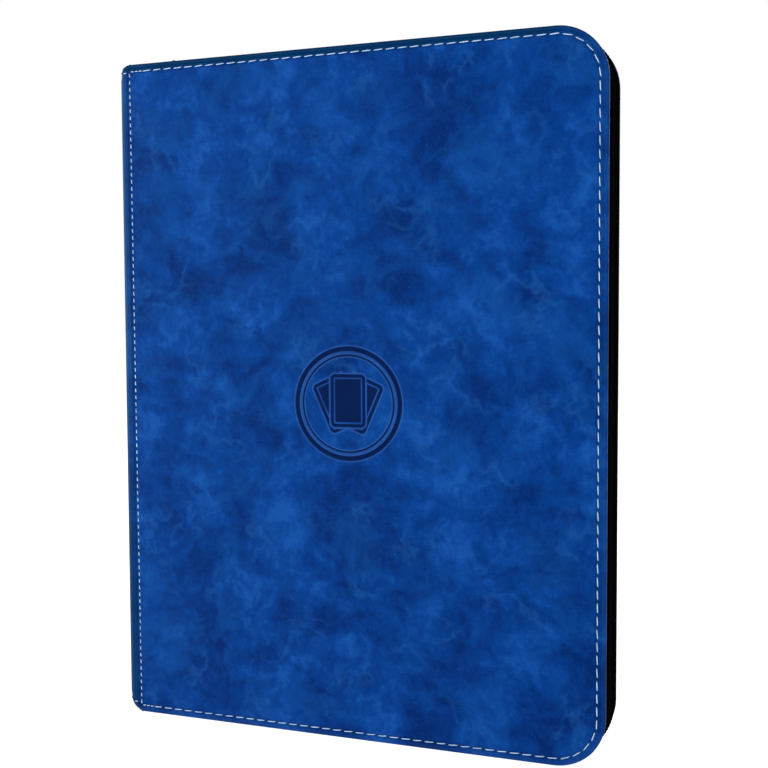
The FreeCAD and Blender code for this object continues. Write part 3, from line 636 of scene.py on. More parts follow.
def spine_places():
    """Places round the hems at both ends of the spine."""
    profile = leather_profile(3, 0)
    half = profile[profile[:, 0] < PIVOT + 0.5]
    ring = both_halves(half)
    run = run_along(ring)
    count = int(run[-1] / HINGE_PITCH)
    sunk = 0.22
    places = []

    def ring_at(along):
        """The point at a length along the hem."""
        return np.array([np.interp(along, run, ring[:, 0]), np.interp(along, run, ring[:, 1])])

    for number in range(count):
        along = (number + 0.5) * run[-1] / count
        x, y = ring_at(along)
        right, back = ring_at(along + 0.3) - (x, y)
        right, back = np.array([right, back]) / np.hypot(right, back)
        share = float(smooth_step(PIVOT + 0.5, PIVOT - 4, x))
        for z in (drawn_between(STITCH_INSET, share), drawn_between(HEIGHT - STITCH_INSET, share)):
            place = (x - spine_swell(x, z) + sunk * back, y - sunk * right, z)
            places.append((place, (right, back, 0), (-back, right, 0), 1.0))
    return places


# ----------------------------------------------------------------- lining, gusset and zip
def closed_shell(name, near, far):
    """A closed sheet between two grids of points, joined round their borders."""
    rows, columns = near.shape[:2]
    size = rows * columns
    faces = grid_faces(rows, columns)
    faces += [tuple(size + index for index in face)[::-1] for face in faces]
    border = list(range(columns))
    border += [row * columns + columns - 1 for row in range(1, rows)]
    border += [(rows - 1) * columns + column for column in range(columns - 2, -1, -1)]
    border += [row * columns for row in range(rows - 2, 0, -1)]
    for here, after in zip(border, border[1:] + border[:1]):
        faces.append((here, here + size, after + size, after))
    return new_object(name, np.concatenate([near.reshape(-1, 3), far.reshape(-1, 3)]), faces)


def face_outwards(thing):
    """Turn every face of a closed mesh outwards."""
    mesh = bmesh.new()
    mesh.from_mesh(thing.data)
    bmesh.ops.recalc_face_normals(mesh, faces=mesh.faces)
    mesh.to_mesh(thing.data)
    mesh.free()


def lining_profile():
    """The front half's inner face, seen from above: spine, its corner, the fold, the cover."""
    corner = 1.6
    middle = np.array([SPINE_INNER + corner, -INNER + corner])
    points = [(SPINE_INNER, y) for y in np.linspace(0, middle[1], 9)]
    for turn in np.radians((20, 40, 60, 75, 90)):
        points.append((middle[0] - corner * math.cos(turn), middle[1] - corner * math.sin(turn)))
    across = spread(middle[0] + 0.06, PIVOT + 0.6, 0.06) + spread(PIVOT + 0.6, HINGE + 6, 0.4)
    across += spread(HINGE + 6, lining_high.x - 7, 6)
    across += list(lining_high.x - np.array((7, 6.4, 5.9, 5.4, 4.6, 3, 1.5, 0.6, 0)))
    points = np.array(points + [(x, -INNER) for x in across])
    points[:, 1] -= FOLD_DIP * np.exp(-((points[:, 0] - PIVOT) / 0.9) ** 2)
    return points


def build_lining(side):
    """The cloth inside a cover, run on over the fold to the middle of the spine."""
    profile = lining_profile()
    corner = CORNER - (FORE - lining_high.x)
    low, high = lining_low.z, lining_high.z
    rows, ends = rounded_rows(low, high, corner, spread(low + corner, high - corner, 6))
    drawn = ends[:, None] * draw_in(profile[:, 0], lining_high.x - CORNER_REACH, lining_high.x)
    slope = directions(profile)
    x = profile[None, :, 0] - drawn
    y = np.repeat(profile[None, :, 1], len(rows), 0)
    z = np.repeat(rows[:, None], len(profile), 1)
    inside = edge_distance(x, z) - (FORE - lining_high.x)
    z = drawn_between(z, smooth_step(PIVOT + 0.5, SPINE_INNER, profile[None, :, 0]))
    cover = profile[None, :, 0] > HINGE
    sunk = np.where(cover, 0.12 * waves(x, z, 35, 20.0 + side) * smooth_step(0, 15, inside), 0)
    sunk -= np.where(cover, 0.25 * np.exp(-((inside - 5.6) / 0.5) ** 2), 0)
    sunk = np.where(cover, sunk - 0.3 * (1 - smooth_step(0, 1.2, inside)), 0)
    near = np.stack([x, y + sunk, z], axis=2)
    thick = lining_high.y - lining_low.y
    far = np.stack([x + thick * slope[None, :, 1], y - thick * slope[None, :, 0], z], axis=2)
    run = run_along(profile)
    uv = np.stack([run[None, :] - drawn, z], axis=2).reshape(-1, 2)
    mirror = [1, side * FRONT, 1]
    lining = closed_shell(PREFIX[side] + "_lining_cloth", near * mirror, far * mirror)
    add_uv(lining, np.concatenate([uv, uv]))
    face_outwards(lining)
    return lining, run[-1], high - low


def sweep(name, section, start, step=3.0):
    """Carry a closed cross-cut round the open sides; its points are (outward, depth).

    section gives the cross-cut at a distance along the path. Returns the piece and the path's length."""
    total = open_side_length(start, BAND_LOW)
    count = round(total / step)
    points, uv = [], []
    for station in range(count + 1):
        along = total * station / count
        x, z, right, up = open_side_at(along, start, BAND_LOW)
        ring = section(along)
        girth = 0.0
        for number, (outward, depth) in enumerate(ring):
            if number:
                girth += math.hypot(outward - ring[number - 1][0], depth - ring[number - 1][1])
            points.append((x + outward * up, depth, z - outward * right))
            uv.append((along, girth))
    thing = new_object(name, points, ring_faces(count + 1, len(section(0.0))))
    add_uv(thing, uv)
    face_outwards(thing)
    return thing, total


GUSSET_OUT = gusset_high.x - FORE
TAPE_OUT = tape_high.x - FORE
CHAIN_OUT = chain_high.x - FORE
GUSSET_THICK, TAPE_THICK, CHAIN_THICK = 0.9, 0.8, 2.4
GUSSET_WIDE = 10.1
CHAIN_FAR, CHAIN_NEAR = -chain_low.y, -chain_high.y
CHAIN_MIDDLE = CHAIN_OUT - CHAIN_THICK / 2
TOOTH_PITCH = 1.6
TAPE_FAR, TAPE_NEAR = -tape_low.y, -tape_high.y


def gusset_section(side):
    """Soft cloth from behind the cover's edge to under the zip tape, easing in and out."""
    depths = np.linspace(INNER + 0.6, INNER + 0.6 - GUSSET_WIDE, 9)

    def section(along):
        """The band's outer face, rippled where it is loose, and its inner face."""
        ring = []
        for share, depth in zip(np.linspace(0, 1, 9), depths):
            loose = math.sin(math.pi * min(1.0, share * 1.5)) if share < 0.67 else 0.0
            ripple = 0.22 * noise.noise(Vector((along / 26, share * 2.0, 3.0 * side)))
            ring.append((GUSSET_OUT - 0.35 * loose + ripple * loose, side * depth))
        return ring + [(outward - GUSSET_THICK, depth) for outward, depth in ring[::-1]]

    return section


def tape_section(side):
    """A woven tape with a raised cord along the chain and a sewn channel near the other edge."""
    ring = []
    for depth in np.linspace(TAPE_FAR, TAPE_NEAR, 17):
        channel = -0.22 * math.exp(-((depth - TAPE_FAR + 1.6) / 0.35) ** 2)
        rib = 0.05 * math.cos(2 * math.pi * depth)
        ring.append((TAPE_OUT - 0.08 + channel + rib, side * depth))
    ring += [(TAPE_OUT - TAPE_THICK, side * depth) for depth in (TAPE_NEAR, TAPE_FAR)]
    return lambda along: ring


def core_section(side):
    """The rounded core that the teeth are sewn to."""
    ring = []
    for turn in np.linspace(0, 2 * math.pi, 12, endpoint=False):
        ring.append((CHAIN_MIDDLE + 0.95 * math.cos(turn), side * (CHAIN_FAR - 0.55 + 0.6 * math.sin(turn))))
    return lambda along: ring


def tooth_rings(tip):
    """A tooth's cross-cuts from its root to its tip: (depth, half width, half height)."""
    return ((CHAIN_FAR - 0.1, 0.30, 0.9), (CHAIN_FAR - 0.4, 0.36, 1.16), (CHAIN_FAR - 1.2, 0.34, 1.12),
            (tip + 0.9, 0.32, 0.98), (tip + 0.5, 0.38, 0.95), (tip + 0.15, 0.34, 0.8), (tip, 0.18, 0.5))


def build_chain(side):
    """A core with moulded teeth; they mesh with the other half's except along the slider's run."""
    start = chain_low.x
    core, total = sweep(PREFIX[side] + "_chain", core_section(side), start)
    points = [tuple(vertex.co / MM) for vertex in core.data.vertices]
    faces = [tuple(polygon.vertices) for polygon in core.data.polygons]
    bpy.data.objects.remove(core)
    sides = 8
    upper_run = total - (FORE - CORNER - start)
    for number in range(int(total / TOOTH_PITCH)):
        along = (number + (0.25 if side == FRONT else 0.75)) * TOOTH_PITCH
        x, z, right, up = open_side_at(along, start, BAND_LOW)
        rings = tooth_rings(tip=0.26 if along > upper_run else -0.35)
        faces += ring_faces(len(rings), sides, first=len(points))
        for depth, wide, high in rings:
            for turn in np.linspace(0, 2 * math.pi, sides, endpoint=False):
                outward = CHAIN_MIDDLE + high * math.cos(turn)
                slide = wide * math.sin(turn)
                points.append((x + outward * up + slide * right, side * depth,
                               z - outward * right + slide * up))
    chain = new_object(PREFIX[side] + "_zip_teeth", points, faces)
    face_outwards(chain)
    return chain


# ------------------------------------------------------------------------- metal pieces
def rounded_outline(corners, radius, steps=4):
    """A closed 2D outline with each corner rounded."""
    outline = []
    for index, corner in enumerate(corners):
        corner = np.array(corner, float)
        before = np.array(corners[index - 1], float) - corner
        after = np.array(corners[(index + 1) % len(corners)], float) - corner
        cut = min(radius, 0.45 * np.hypot(*before), 0.45 * np.hypot(*after))
        first = corner + before / np.hypot(*before) * cut
        last = corner + after / np.hypot(*after) * cut
        for share in np.linspace(0, 1, steps + 1):
            outline.append((1 - share) ** 2 * first + 2 * share * (1 - share) * corner + share ** 2 * last)
    return outline


def bridge(mesh, rings):
    """Join each ring of vertices to the next with quads."""
    for ring, following in zip(rings, rings[1:]):
        for index in range(len(ring)):
            after = (index + 1) % len(ring)
            mesh.faces.new((ring[index], ring[after], following[after], following[index]))


def add_slab(mesh, outline, low, high, soften, axes="xyz"):
    """Add an outline's prism with softened edges; axes says where its u, v and height lie."""
    order = ["xyz".index(axis) for axis in axes]

    def corner(u, v, w):
        """A vertex of the prism, its three amounts put on the axes asked for."""
        place = [0.0, 0.0, 0.0]
        for axis, amount in zip(order, (u, v, w)):
            place[axis] = amount * MM
        return mesh.verts.new(place)

    lower = [corner(u, v, low) for u, v in outline]
    upper = [corner(u, v, high) for u, v in outline]
    caps = [mesh.faces.new(lower[::-1]), mesh.faces.new(upper)]
    bridge(mesh, [lower, upper])
    edges = [edge for cap in caps for edge in cap.edges]
    bmesh.ops.bevel(mesh, geom=edges, offset=soften * MM, segments=2, profile=0.5, affect="EDGES",
                    clamp_overlap=True)


def add_tube(mesh, path, radius, sides=10):
    """Add a round bar along a path of points, closed at both ends."""
    path = np.array(path, float)
    rings = []
    for place, direction in zip(path, directions(path)):
        level = np.array([0.0, 1.0, 0.0]) if abs(direction[1]) < 0.9 else np.array([1.0, 0.0, 0.0])
        side = np.cross(direction, level)
        side /= np.linalg.norm(side)
        other = np.cross(direction, side)
        rings.append([mesh.verts.new((place + radius * (math.cos(turn) * side + math.sin(turn) * other)) * MM)
                      for turn in np.linspace(0, 2 * math.pi, sides, endpoint=False)])
    bridge(mesh, rings)
    mesh.faces.new(rings[0][::-1])
    mesh.faces.new(rings[-1])


def box_outline(left, right, near, far):
    """The four corners of an upright rectangle."""
    return [(left, near), (right, near), (right, far), (left, far)]


def mesh_object(name, mesh):
    """A mesh object from a finished bmesh, its well-turned edges sharp."""
    bmesh.ops.recalc_face_normals(mesh, faces=mesh.faces)
    data = bpy.data.meshes.new(name)
    mesh.to_mesh(data)
    mesh.free()
    data.polygons.foreach_set("use_smooth", [True] * len(data.polygons))
    thing = place_object(name, data)
    smooth_by_angle(thing)
    return thing


def smooth_by_angle(thing, degrees=35):
    """Keep the edges between well-turned faces sharp."""
    mesh = bmesh.new()
    mesh.from_mesh(thing.data)
    for edge in mesh.edges:
        edge.smooth = len(edge.link_faces) == 2 and edge.calc_face_angle(0) < math.radians(degrees)
    mesh.to_mesh(thing.data)
    mesh.free()


slider_low, slider_high = box_mm("zip_slider")
puller_low, puller_high = box_mm("zip_puller")
stops_low, stops_high = box_mm("front_zip_stops")
BAR_ACROSS = (slider_low.x + slider_high.x) / 2
BAR_UP = joints["zip_puller_swing"]["pos_m"][2] / MM
PLATE_THICK, PLATE_CLEAR = 0.8, 0.3
PLATE_LOW = HEIGHT - BAND_LOW + CHAIN_OUT + PLATE_CLEAR
BAR_RADIUS = 0.6
PULLER_WIDE = puller_high.y - puller_low.y


def build_slider():
    """Two waisted plates on a post, lips that hold the chains, and ears with a bar on top."""
    mesh = bmesh.new()
    left, right, half = slider_low.x, slider_high.x, slider_high.y
    lower_edge = [(left, -half * 0.82), (left + 3, -half), (right - 1, -half * 0.88), (right, -half * 0.7)]
    waist = rounded_outline(lower_edge + [(u, -v) for u, v in lower_edge[::-1]], 1.2)
    add_slab(mesh, waist, PLATE_LOW, PLATE_LOW + PLATE_THICK, 0.3)
    under = PLATE_LOW - 2 * PLATE_CLEAR - CHAIN_THICK
    add_slab(mesh, waist, under - PLATE_THICK, under, 0.3)
    for side in (-1, 1):
        lip = box_outline(left + 2, right - 1.5, side * (half - 0.75), side * (half - 0.2))
        add_slab(mesh, lip, PLATE_LOW - 0.7, PLATE_LOW + 0.4, 0.15)
        near, far = PULLER_WIDE / 4 + 0.3, PULLER_WIDE / 4 + 1.3
        ear = rounded_outline([(BAR_ACROSS - 1.9, PLATE_LOW + 0.5), (BAR_ACROSS + 1.9, PLATE_LOW + 0.5),
                               (BAR_ACROSS + 0.75, BAR_UP + 0.72), (BAR_ACROSS - 0.75, BAR_UP + 0.72)], 0.8)
        add_slab(mesh, ear, side * near, side * far, 0.2, axes="xzy")
    post = box_outline(right - 3, right - 0.3, -0.2, 0.2)
    add_slab(mesh, post, under - 0.2, PLATE_LOW + 0.2, 0.08)
    reach = PULLER_WIDE / 4 + 0.8
    add_tube(mesh, [(BAR_ACROSS, y, BAR_UP) for y in np.linspace(-reach, reach, 5)], BAR_RADIUS)
    return mesh_object("zip_slider_body", mesh)


def build_puller():
    """A cast tab with a raised border and grip bars, hung from the bar by an eye."""
    mesh = bmesh.new()
    eye, wall = BAR_RADIUS + 0.1, 0.8
    turns = np.radians(np.linspace(0, 360, 25)[:-1])
    inside, outside = [], []
    for y, grow in ((-1.75, -0.12), (-1.6, 0.0), (1.6, 0.0), (1.75, -0.12)):
        for keep, radius in ((inside, eye - grow), (outside, eye + wall + grow)):
            keep.append([mesh.verts.new(Vector((BAR_ACROSS + radius * math.cos(turn), y,
                                                BAR_UP + radius * math.sin(turn))) * MM) for turn in turns])
    bridge(mesh, inside[:1] + outside + inside[::-1])
    start, end, half = BAR_ACROSS + eye + 0.3, puller_high.x, PULLER_WIDE / 2
    lower_edge = [(start, -half / 2), (start + 3, -half), (end - 2, -half), (end, -half / 2)]
    tab = rounded_outline(lower_edge + [(u, -v) for u, v in lower_edge[::-1]], 1.6)
    add_slab(mesh, tab, BAR_UP - 0.35, BAR_UP + 0.35, 0.2)
    rim = np.array(tab)
    middle = rim.mean(axis=0)
    inner = middle + (rim - middle) * (1 - 1.1 / (end - middle[0]), 1 - 1.1 / half)
    lows, highs = [], []
    for height, keep in ((BAR_UP - 0.6, lows), (BAR_UP + 0.6, highs)):
        for ring in (rim, inner):
            keep.append([mesh.verts.new((u * MM, v * MM, height * MM)) for u, v in ring])
    bridge(mesh, [lows[0], highs[0], highs[1], lows[1], lows[0]])
    for across in np.arange(end - 9, end - 2.5, 1.5):
        bar = box_outline(across, across + 0.7, -half + 1.6, half - 1.6)
        add_slab(mesh, bar, BAR_UP - 0.55, BAR_UP + 0.55, 0.15)
    return mesh_object("zip_puller_tab", mesh)


def build_stops(side):
    """Crimped clips that end the chain beside the spine."""
    mesh = bmesh.new()
    left, right = stops_low.x, stops_high.x
    near, far = side * CHAIN_NEAR, side * CHAIN_FAR
    for low in (stops_low.z, stops_high.z - CHAIN_THICK):
        clip = rounded_outline(box_outline(left, right, min(near, far), max(near, far)), 0.5)
        add_slab(mesh, clip, low, low + CHAIN_THICK, 0.4)
        for across in (left + 0.9, right - 0.9):
            groove = box_outline(across - 0.2, across + 0.2, min(near, far) + 0.3, max(near, far) - 0.3)
            add_slab(mesh, groove, low - 0.05, low + CHAIN_THICK + 0.05, 0.05)
    return mesh_object(PREFIX[side] + "_stop_clips", mesh)


# ---------------------------------------------------------------------- leaves and padding
LEAVES = sorted(name for name in nodes if name.startswith("page_") and name != "page_binding")
PAGE_ROWS, PAGE_COLUMNS = 3, 3
POCKET_WIDE, POCKET_HIGH, WELD = 72, 99, 3
BOUND_MARGIN = 14                  # from a leaf's bound edge to its first pocket
BOUND_CREASE = 5.1                 # and to the crease that it bends at
FILM = 0.3


def seam_lines(start, count, size):
    """Places of grid lines across the welds between pockets."""
    welds = [start + number * (size + WELD) - WELD for number in range(count + 1)]
    return [low + part for low in welds for part in (0, 0.5, 1.1, WELD / 2, WELD - 1.1, WELD - 0.5, WELD)]


def build_page(node):
    """The leaf's core: a thin sheet, its welds embossed and its bound margin creased."""
    low, high = box_mm(node)
    middle = (low.y + high.y) / 2
    first = low.x + BOUND_MARGIN
    across = [low.x, low.x + 2, low.x + BOUND_CREASE - 0.6, low.x + BOUND_CREASE, low.x + BOUND_CREASE + 0.6,
              low.x + 8]
    across += [x for x in seam_lines(first, PAGE_COLUMNS, POCKET_WIDE) if low.x + 8.5 < x < high.x] + [high.x]
    up = [z for z in seam_lines(low.z + WELD, PAGE_ROWS, POCKET_HIGH) if low.z < z < high.z]
    up = [low.z] + up + [high.z]
    x, z = np.meshgrid(across, up)
    column = (x - first + WELD) % (POCKET_WIDE + WELD) - WELD / 2
    row = (z - low.z) % (POCKET_HIGH + WELD) - WELD / 2
    raised = np.exp(-(np.minimum(np.abs(column), np.abs(row)) / 0.7) ** 2) * (x > first - WELD)
    raised = np.maximum(raised, np.exp(-((x - low.x - BOUND_CREASE) / 0.4) ** 2))
    half = FILM / 2 + 0.16 * raised
    near = np.stack([x, middle - half, z], axis=2)
    far = np.stack([x, middle + half, z], axis=2)
    page = closed_shell(node + "_core", near, far)
    uv = np.stack([x, z], axis=2).reshape(-1, 2)
    add_uv(page, np.concatenate([uv, uv]))
    face_outwards(page)
    return page


def pocket_outline(left, low):
    """A pocket's film: clipped corners, and a thumb notch on its open inner side."""
    right, high = left + POCKET_WIDE, low + POCKET_HIGH
    outline = [(left + 1.2, low), (right - 0.6, low), (right, low + 0.6), (right, high - 0.6),
               (right - 0.6, high), (left + 1.2, high), (left + 0.8, high - 0.6)]
    middle = (low + high) / 2
    for turn in np.radians(np.linspace(90, -90, 9)):
        outline.append((left + 0.8 + 6 * math.cos(turn), middle + 8 * math.sin(turn)))
    outline.append((left + 0.8, low + 0.6))
    return outline


def build_pockets(node):
    """Glossy film over both faces of a leaf, one closed sheet for each pocket."""
    low, high = box_mm(node)
    middle = (low.y + high.y) / 2
    lift, thin = (high.y - low.y) / 2, 0.12
    points, faces = [], []
    for side in (-1, 1):
        for column in range(PAGE_COLUMNS):
            for row in range(PAGE_ROWS):
                outline = pocket_outline(low.x + BOUND_MARGIN + column * (POCKET_WIDE + WELD),
                                         low.z + WELD + row * (POCKET_HIGH + WELD))
                faces += ring_faces(2, len(outline), first=len(points))
                for depth in (lift, lift - thin):
                    points += [(x, middle + side * depth, z) for x, z in outline]
    film = new_object(node + "_film", points, faces, smooth=False)
    add_uv(film, [(x, z) for x, _, z in points])
    face_outwards(film)
    return film


def build_binding():
    """A cloth-covered ridge with a pleat between each pair of leaves."""
    low, high = box_mm("page_binding")
    middles = []
    for name in LEAVES:
        leaf_low, leaf_high = box_mm(name)
        middles.append(((leaf_low.y + leaf_high.y) / 2, leaf_low.x))
    middles.sort()
    pitch = middles[1][0] - middles[0][0]
    ridge = [(low.x + 0.1, low.y)]
    pleat = ((1.5, -0.5), (0.75, -0.25), (0.6, 0), (0.75, 0.25))
    for y, x in middles:
        ridge += [(x - back, y + share * pitch) for back, share in pleat]
    ridge += [(middles[-1][1] - 1.5, high.y), (low.x + 0.1, high.y)]
    heights = np.linspace(low.z, high.z, 60)
    points, uv = [], []
    size = len(ridge)
    for z in heights:
        for index, (x, y) in enumerate(ridge):
            soft = 0.15 * noise.noise(Vector((z / 14, y / 3, 31.0))) if 0 < index < size - 1 else 0.0
            points.append((min(x + soft, high.x), y, z))
            uv.append((y + x - low.x, z))
    binding = new_object("page_binding_cloth", points, ring_faces(len(heights), size))
    add_uv(binding, uv)
    face_outwards(binding)
    return binding


def build_foam(node):
    """A crowned pad inside a foam node's box, its rim pressed thinner than its middle."""
    low, high = box_mm(node)
    corner, step = CORNER - (FORE - high.x), 8
    rows, ends = rounded_rows(low.z, high.z, corner, spread(low.z + corner, high.z - corner, step))
    across = np.array(spread(low.x, high.x, step) + [high.x])
    x = across[None, :] - ends[:, None] * draw_in(across, high.x - CORNER_REACH, high.x)
    z = np.repeat(rows[:, None], len(across), 1)
    inside = np.minimum(np.minimum(x - low.x, high.x - x), np.minimum(z - low.z, high.z - z))
    crown = 0.45 + 0.55 * smooth_step(0, 10, inside)
    inner, outwards = (high.y, -1) if low.y < 0 else (low.y, 1)
    near = np.stack([x, inner + outwards * (high.y - low.y - 0.25) * crown, z], axis=2)
    far = np.stack([x, np.full_like(x, inner), z], axis=2)
    pad = closed_shell(node + "_pad", near, far)
    face_outwards(pad)
    return pad


def build_spine_pad():
    """The soft layer under the spine's leather, round both shoulders."""
    half = leather_profile(8, 0)
    half = half[half[:, 0] < PIVOT - 1]
    ring = both_halves(half)
    slope = directions(ring)
    inwards = np.stack([slope[:, 1], -slope[:, 0]], axis=1)
    rows = np.linspace(SPINE_FOOT + 3, HEIGHT - SPINE_HEAD - 3, 30)
    grids = []
    for depth in (1.3, 2.3):
        place = ring + depth * inwards
        grids.append(np.stack([np.repeat(place[None, :, 0], len(rows), 0),
                               np.repeat(place[None, :, 1], len(rows), 0),
                               np.repeat(rows[:, None], len(ring), 1)], axis=2))
    pad = closed_shell("spine_pad", *grids)
    face_outwards(pad)
    return pad


# ---------------------------------------------------------------------------- materials
class Nodes:
    """Short names for building a material's node tree."""

    def __init__(self, name):
        """A new material with its Principled shader."""
        self.material = bpy.data.materials.new(name)
        self.material.use_nodes = True
        self.tree = self.material.node_tree
        self.shader = self.tree.nodes["Principled BSDF"]

    def add(self, kind, **settings):
        """A node, its settings given by the names of its inputs or its own properties."""
        node = self.tree.nodes.new(kind)
        for key, setting in settings.items():
            if key in node.inputs:
                node.inputs[key].default_value = setting
            else:
                setattr(node, key, setting)
        return node

    def join(self, output, target):
        """Link an output to an input."""
        self.tree.links.new(output, target)

    def feed(self, target, given):
        """Link a socket to an input, or set the input to a number or a colour."""
        if isinstance(given, bpy.types.NodeSocket):
            self.join(given, target)
        else:
            target.default_value = (*given, 1) if isinstance(given, tuple) else given

    def finish(self, colour, normal, **settings):
        """Join colour and bump to the shader, set its uniform values and give the material back."""
        self.join(colour, self.shader.inputs["Base Color"])
        self.join(normal, self.shader.inputs["Normal"])
        for key, setting in settings.items():
            self.shader.inputs[key.replace("_", " ")].default_value = setting
        return self.material

    def place(self, output="Object", scale=(1, 1, 1), turn=0.0):
        """Texture coordinates, stretched and turned."""
        mapping = self.add("ShaderNodeMapping", Scale=scale, Rotation=(0, 0, turn))
        self.join(self.add("ShaderNodeTexCoord").outputs[output], mapping.inputs["Vector"])
        return mapping.outputs["Vector"]

    def uv(self, scale=(1, 1, 1), turn=0.0):
        """Coordinates on the cloth or leather, one unit for each 100 mm."""
        return self.place("UV", scale, turn)

    def noise(self, vector, scale, detail=4.0, roughness=0.5, distortion=0.0):
        """Cloudy noise from 0 to 1."""
        node = self.add("ShaderNodeTexNoise", Scale=scale, Detail=detail, Roughness=roughness,
                        Distortion=distortion)
        self.join(vector, node.inputs["Vector"])
        return node.outputs["Fac"]

    def ramp(self, value, stops):
        """Colours or greys between stops of (position, colour)."""
        node = self.add("ShaderNodeValToRGB")
        ramp = node.color_ramp
        while len(ramp.elements) < len(stops):
            ramp.elements.new(0.5)
        for element, (position, colour) in zip(ramp.elements, stops):
            element.position = position
            element.color = (*colour, 1) if isinstance(colour, tuple) else (colour,) * 3 + (1,)
        self.join(value, node.inputs["Fac"])
        return node.outputs["Color"]

    def math(self, operation, first, second=0.0):
        """One sum of two sockets or numbers."""
        node = self.add("ShaderNodeMath", operation=operation)
        for target, given in zip(node.inputs, (first, second)):
            self.feed(target, given)
        return node.outputs[0]

    def tint(self, colour, mask, share, towards):
        """Turn a colour towards another, by a share where the mask is 1."""
        node = self.add("ShaderNodeMix", data_type="RGBA", blend_type="MIX")
        for index, given in ((0, self.math("MULTIPLY", mask, share)), (6, colour), (7, towards)):
            self.feed(node.inputs[index], given)
        return node.outputs[2]

    def value(self, name):
        """A number stored on the mesh's vertices."""
        return self.add("ShaderNodeAttribute", attribute_name=name).outputs["Fac"]

    def bump(self, height, strength, distance, below=None):
        """Small relief, on top of another bump's if one is given."""
        node = self.add("ShaderNodeBump", Strength=strength, Distance=distance * MM)
        self.join(height, node.inputs["Height"])
        if below is not None:
            self.join(below, node.inputs["Normal"])
        return node.outputs["Normal"]


def leather_marbling(n):
    """Cloudy two-tone blue with worn patches, pale wisps and flecks."""
    tone = None
    for weight, stretch, turn, scale, detail, roughness, distortion in (
            (0.36, (1.15, 0.85, 1), 0.5, 2.2, 3, 0.5, 0.4),       # clouds
            (0.39, (0.9, 1.2, 1), 1.1, 5.6, 7, 0.64, 0.5),        # patches
            (0.25, (1.3, 0.8, 1), 0.7, 14.0, 8, 0.72, 0.4)):      # marks
        layer = n.math("MULTIPLY", n.noise(n.uv(stretch, turn), scale, detail, roughness, distortion), weight)
        tone = layer if tone is None else n.math("ADD", tone, layer)
    colour = n.ramp(tone, [(0.41, (0.0002, 0.0140, 0.102)), (0.47, (0.0005, 0.0225, 0.142)),
                           (0.53, (0.0010, 0.0315, 0.182)), (0.60, (0.0045, 0.054, 0.250))])
    worn = n.ramp(n.noise(n.uv(turn=1.9), 3.1, 8, 0.68, 0.6), [(0.50, 0.0), (0.62, 1.0)])
    colour = n.tint(colour, worn, 0.30, (0.0045, 0.064, 0.262))
    ridge = n.math("ABSOLUTE", n.math("SUBTRACT", n.noise(n.uv(), 4.2, 4, 0.55, 0.25), 0.5))
    wisps = n.math("MULTIPLY", n.ramp(ridge, [(0.0, 1.0), (0.05, 0.0)]),
                   n.ramp(n.noise(n.uv(turn=2.6), 3.6, 3), [(0.50, 0.0), (0.60, 1.0)]))
    colour = n.tint(colour, wisps, 0.28, (0.012, 0.085, 0.30))
    flecks = n.ramp(n.noise(n.uv(turn=0.3), 42, 4, 0.7), [(0.60, 0.0), (0.70, 1.0)])
    return n.tint(colour, flecks, 0.30, (0.010, 0.080, 0.30))


def leather_material():
    """Mottled blue pullup leather with a fine grain, toned by the numbers on its vertices, painted shade and
    painted highlights among them.
    """
    n = Nodes("blue_leather")
    colour = leather_marbling(n)
    colour = n.tint(colour, n.value("press"), 0.97, (0.0, 0.0042, 0.042))
    # Painted highlights along the rims of the emblem's pressed shapes.
    colour = n.tint(colour, n.value("painted_emblem_highlight"), 0.55, (0.030, 0.110, 0.36))
    # The rim value is painted shade: beyond the stitching, most along the top, in the stitched channel, in
    # the fold and towards the spine's foot.
    colour = n.tint(colour, n.value("rim"), 0.85, (0.0, 0.018, 0.058))
    # A painted highlight on the spine's shoulder, fading towards its foot, and along the rolled edges.
    colour = n.tint(colour, n.value("pull"), 0.55, (0.028, 0.085, 0.165))
    uv = n.uv()
    grain = n.add("ShaderNodeTexVoronoi", feature="SMOOTH_F1", Scale=95.0, Smoothness=0.6)
    n.join(uv, grain.inputs["Vector"])
    n.join(n.ramp(n.noise(uv, 5, 5, 0.6), [(0.3, 0.42), (0.7, 0.58)]), n.shader.inputs["Roughness"])
    creases = n.bump(n.noise(uv, 30, 6, 0.65, 0.4), 0.16, 0.5, n.bump(grain.outputs["Distance"], 0.22, 0.25))
    return n.finish(colour, creases, Specular_IOR_Level=0.07, Specular_Tint=(0.2, 0.55, 1, 1))


def thread_material():
    """Pale blue twisted thread."""
    n = Nodes("pale_thread")
    colour = n.ramp(n.value("shade"), [(0.0, (0.25, 0.38, 0.60)), (1.0, (0.45, 0.60, 0.84))])
    twist = n.add("ShaderNodeTexWave", Scale=900.0, Distortion=0.5)
    n.join(n.place(), twist.inputs["Vector"])
    return n.finish(colour, n.bump(twist.outputs["Fac"], 0.5, 0.1), Roughness=0.7)


def cloth_material(name, dark, light, threads_per_100mm):
    """Plain woven cloth, with the weave from two crossed waves over the UV map."""
    n = Nodes(name)
    uv = n.uv()
    crossed = []
    for direction in ("X", "Y"):
        wave = n.add("ShaderNodeTexWave", bands_direction=direction, Scale=threads_per_100mm / (2 * math.pi),
                     Distortion=0.4)
        n.join(uv, wave.inputs["Vector"])
        crossed.append(wave.outputs["Fac"])
    weave = n.math("MULTIPLY", *crossed)
    tone = n.math("ADD", n.math("MULTIPLY", weave, 0.6), n.math("MULTIPLY", n.noise(uv, 60, 3), 0.4))
    return n.finish(n.ramp(tone, [(0.1, dark), (0.7, light)]), n.bump(weave, 0.5, 0.2),
                    Roughness=0.85, Specular_IOR_Level=0.0)


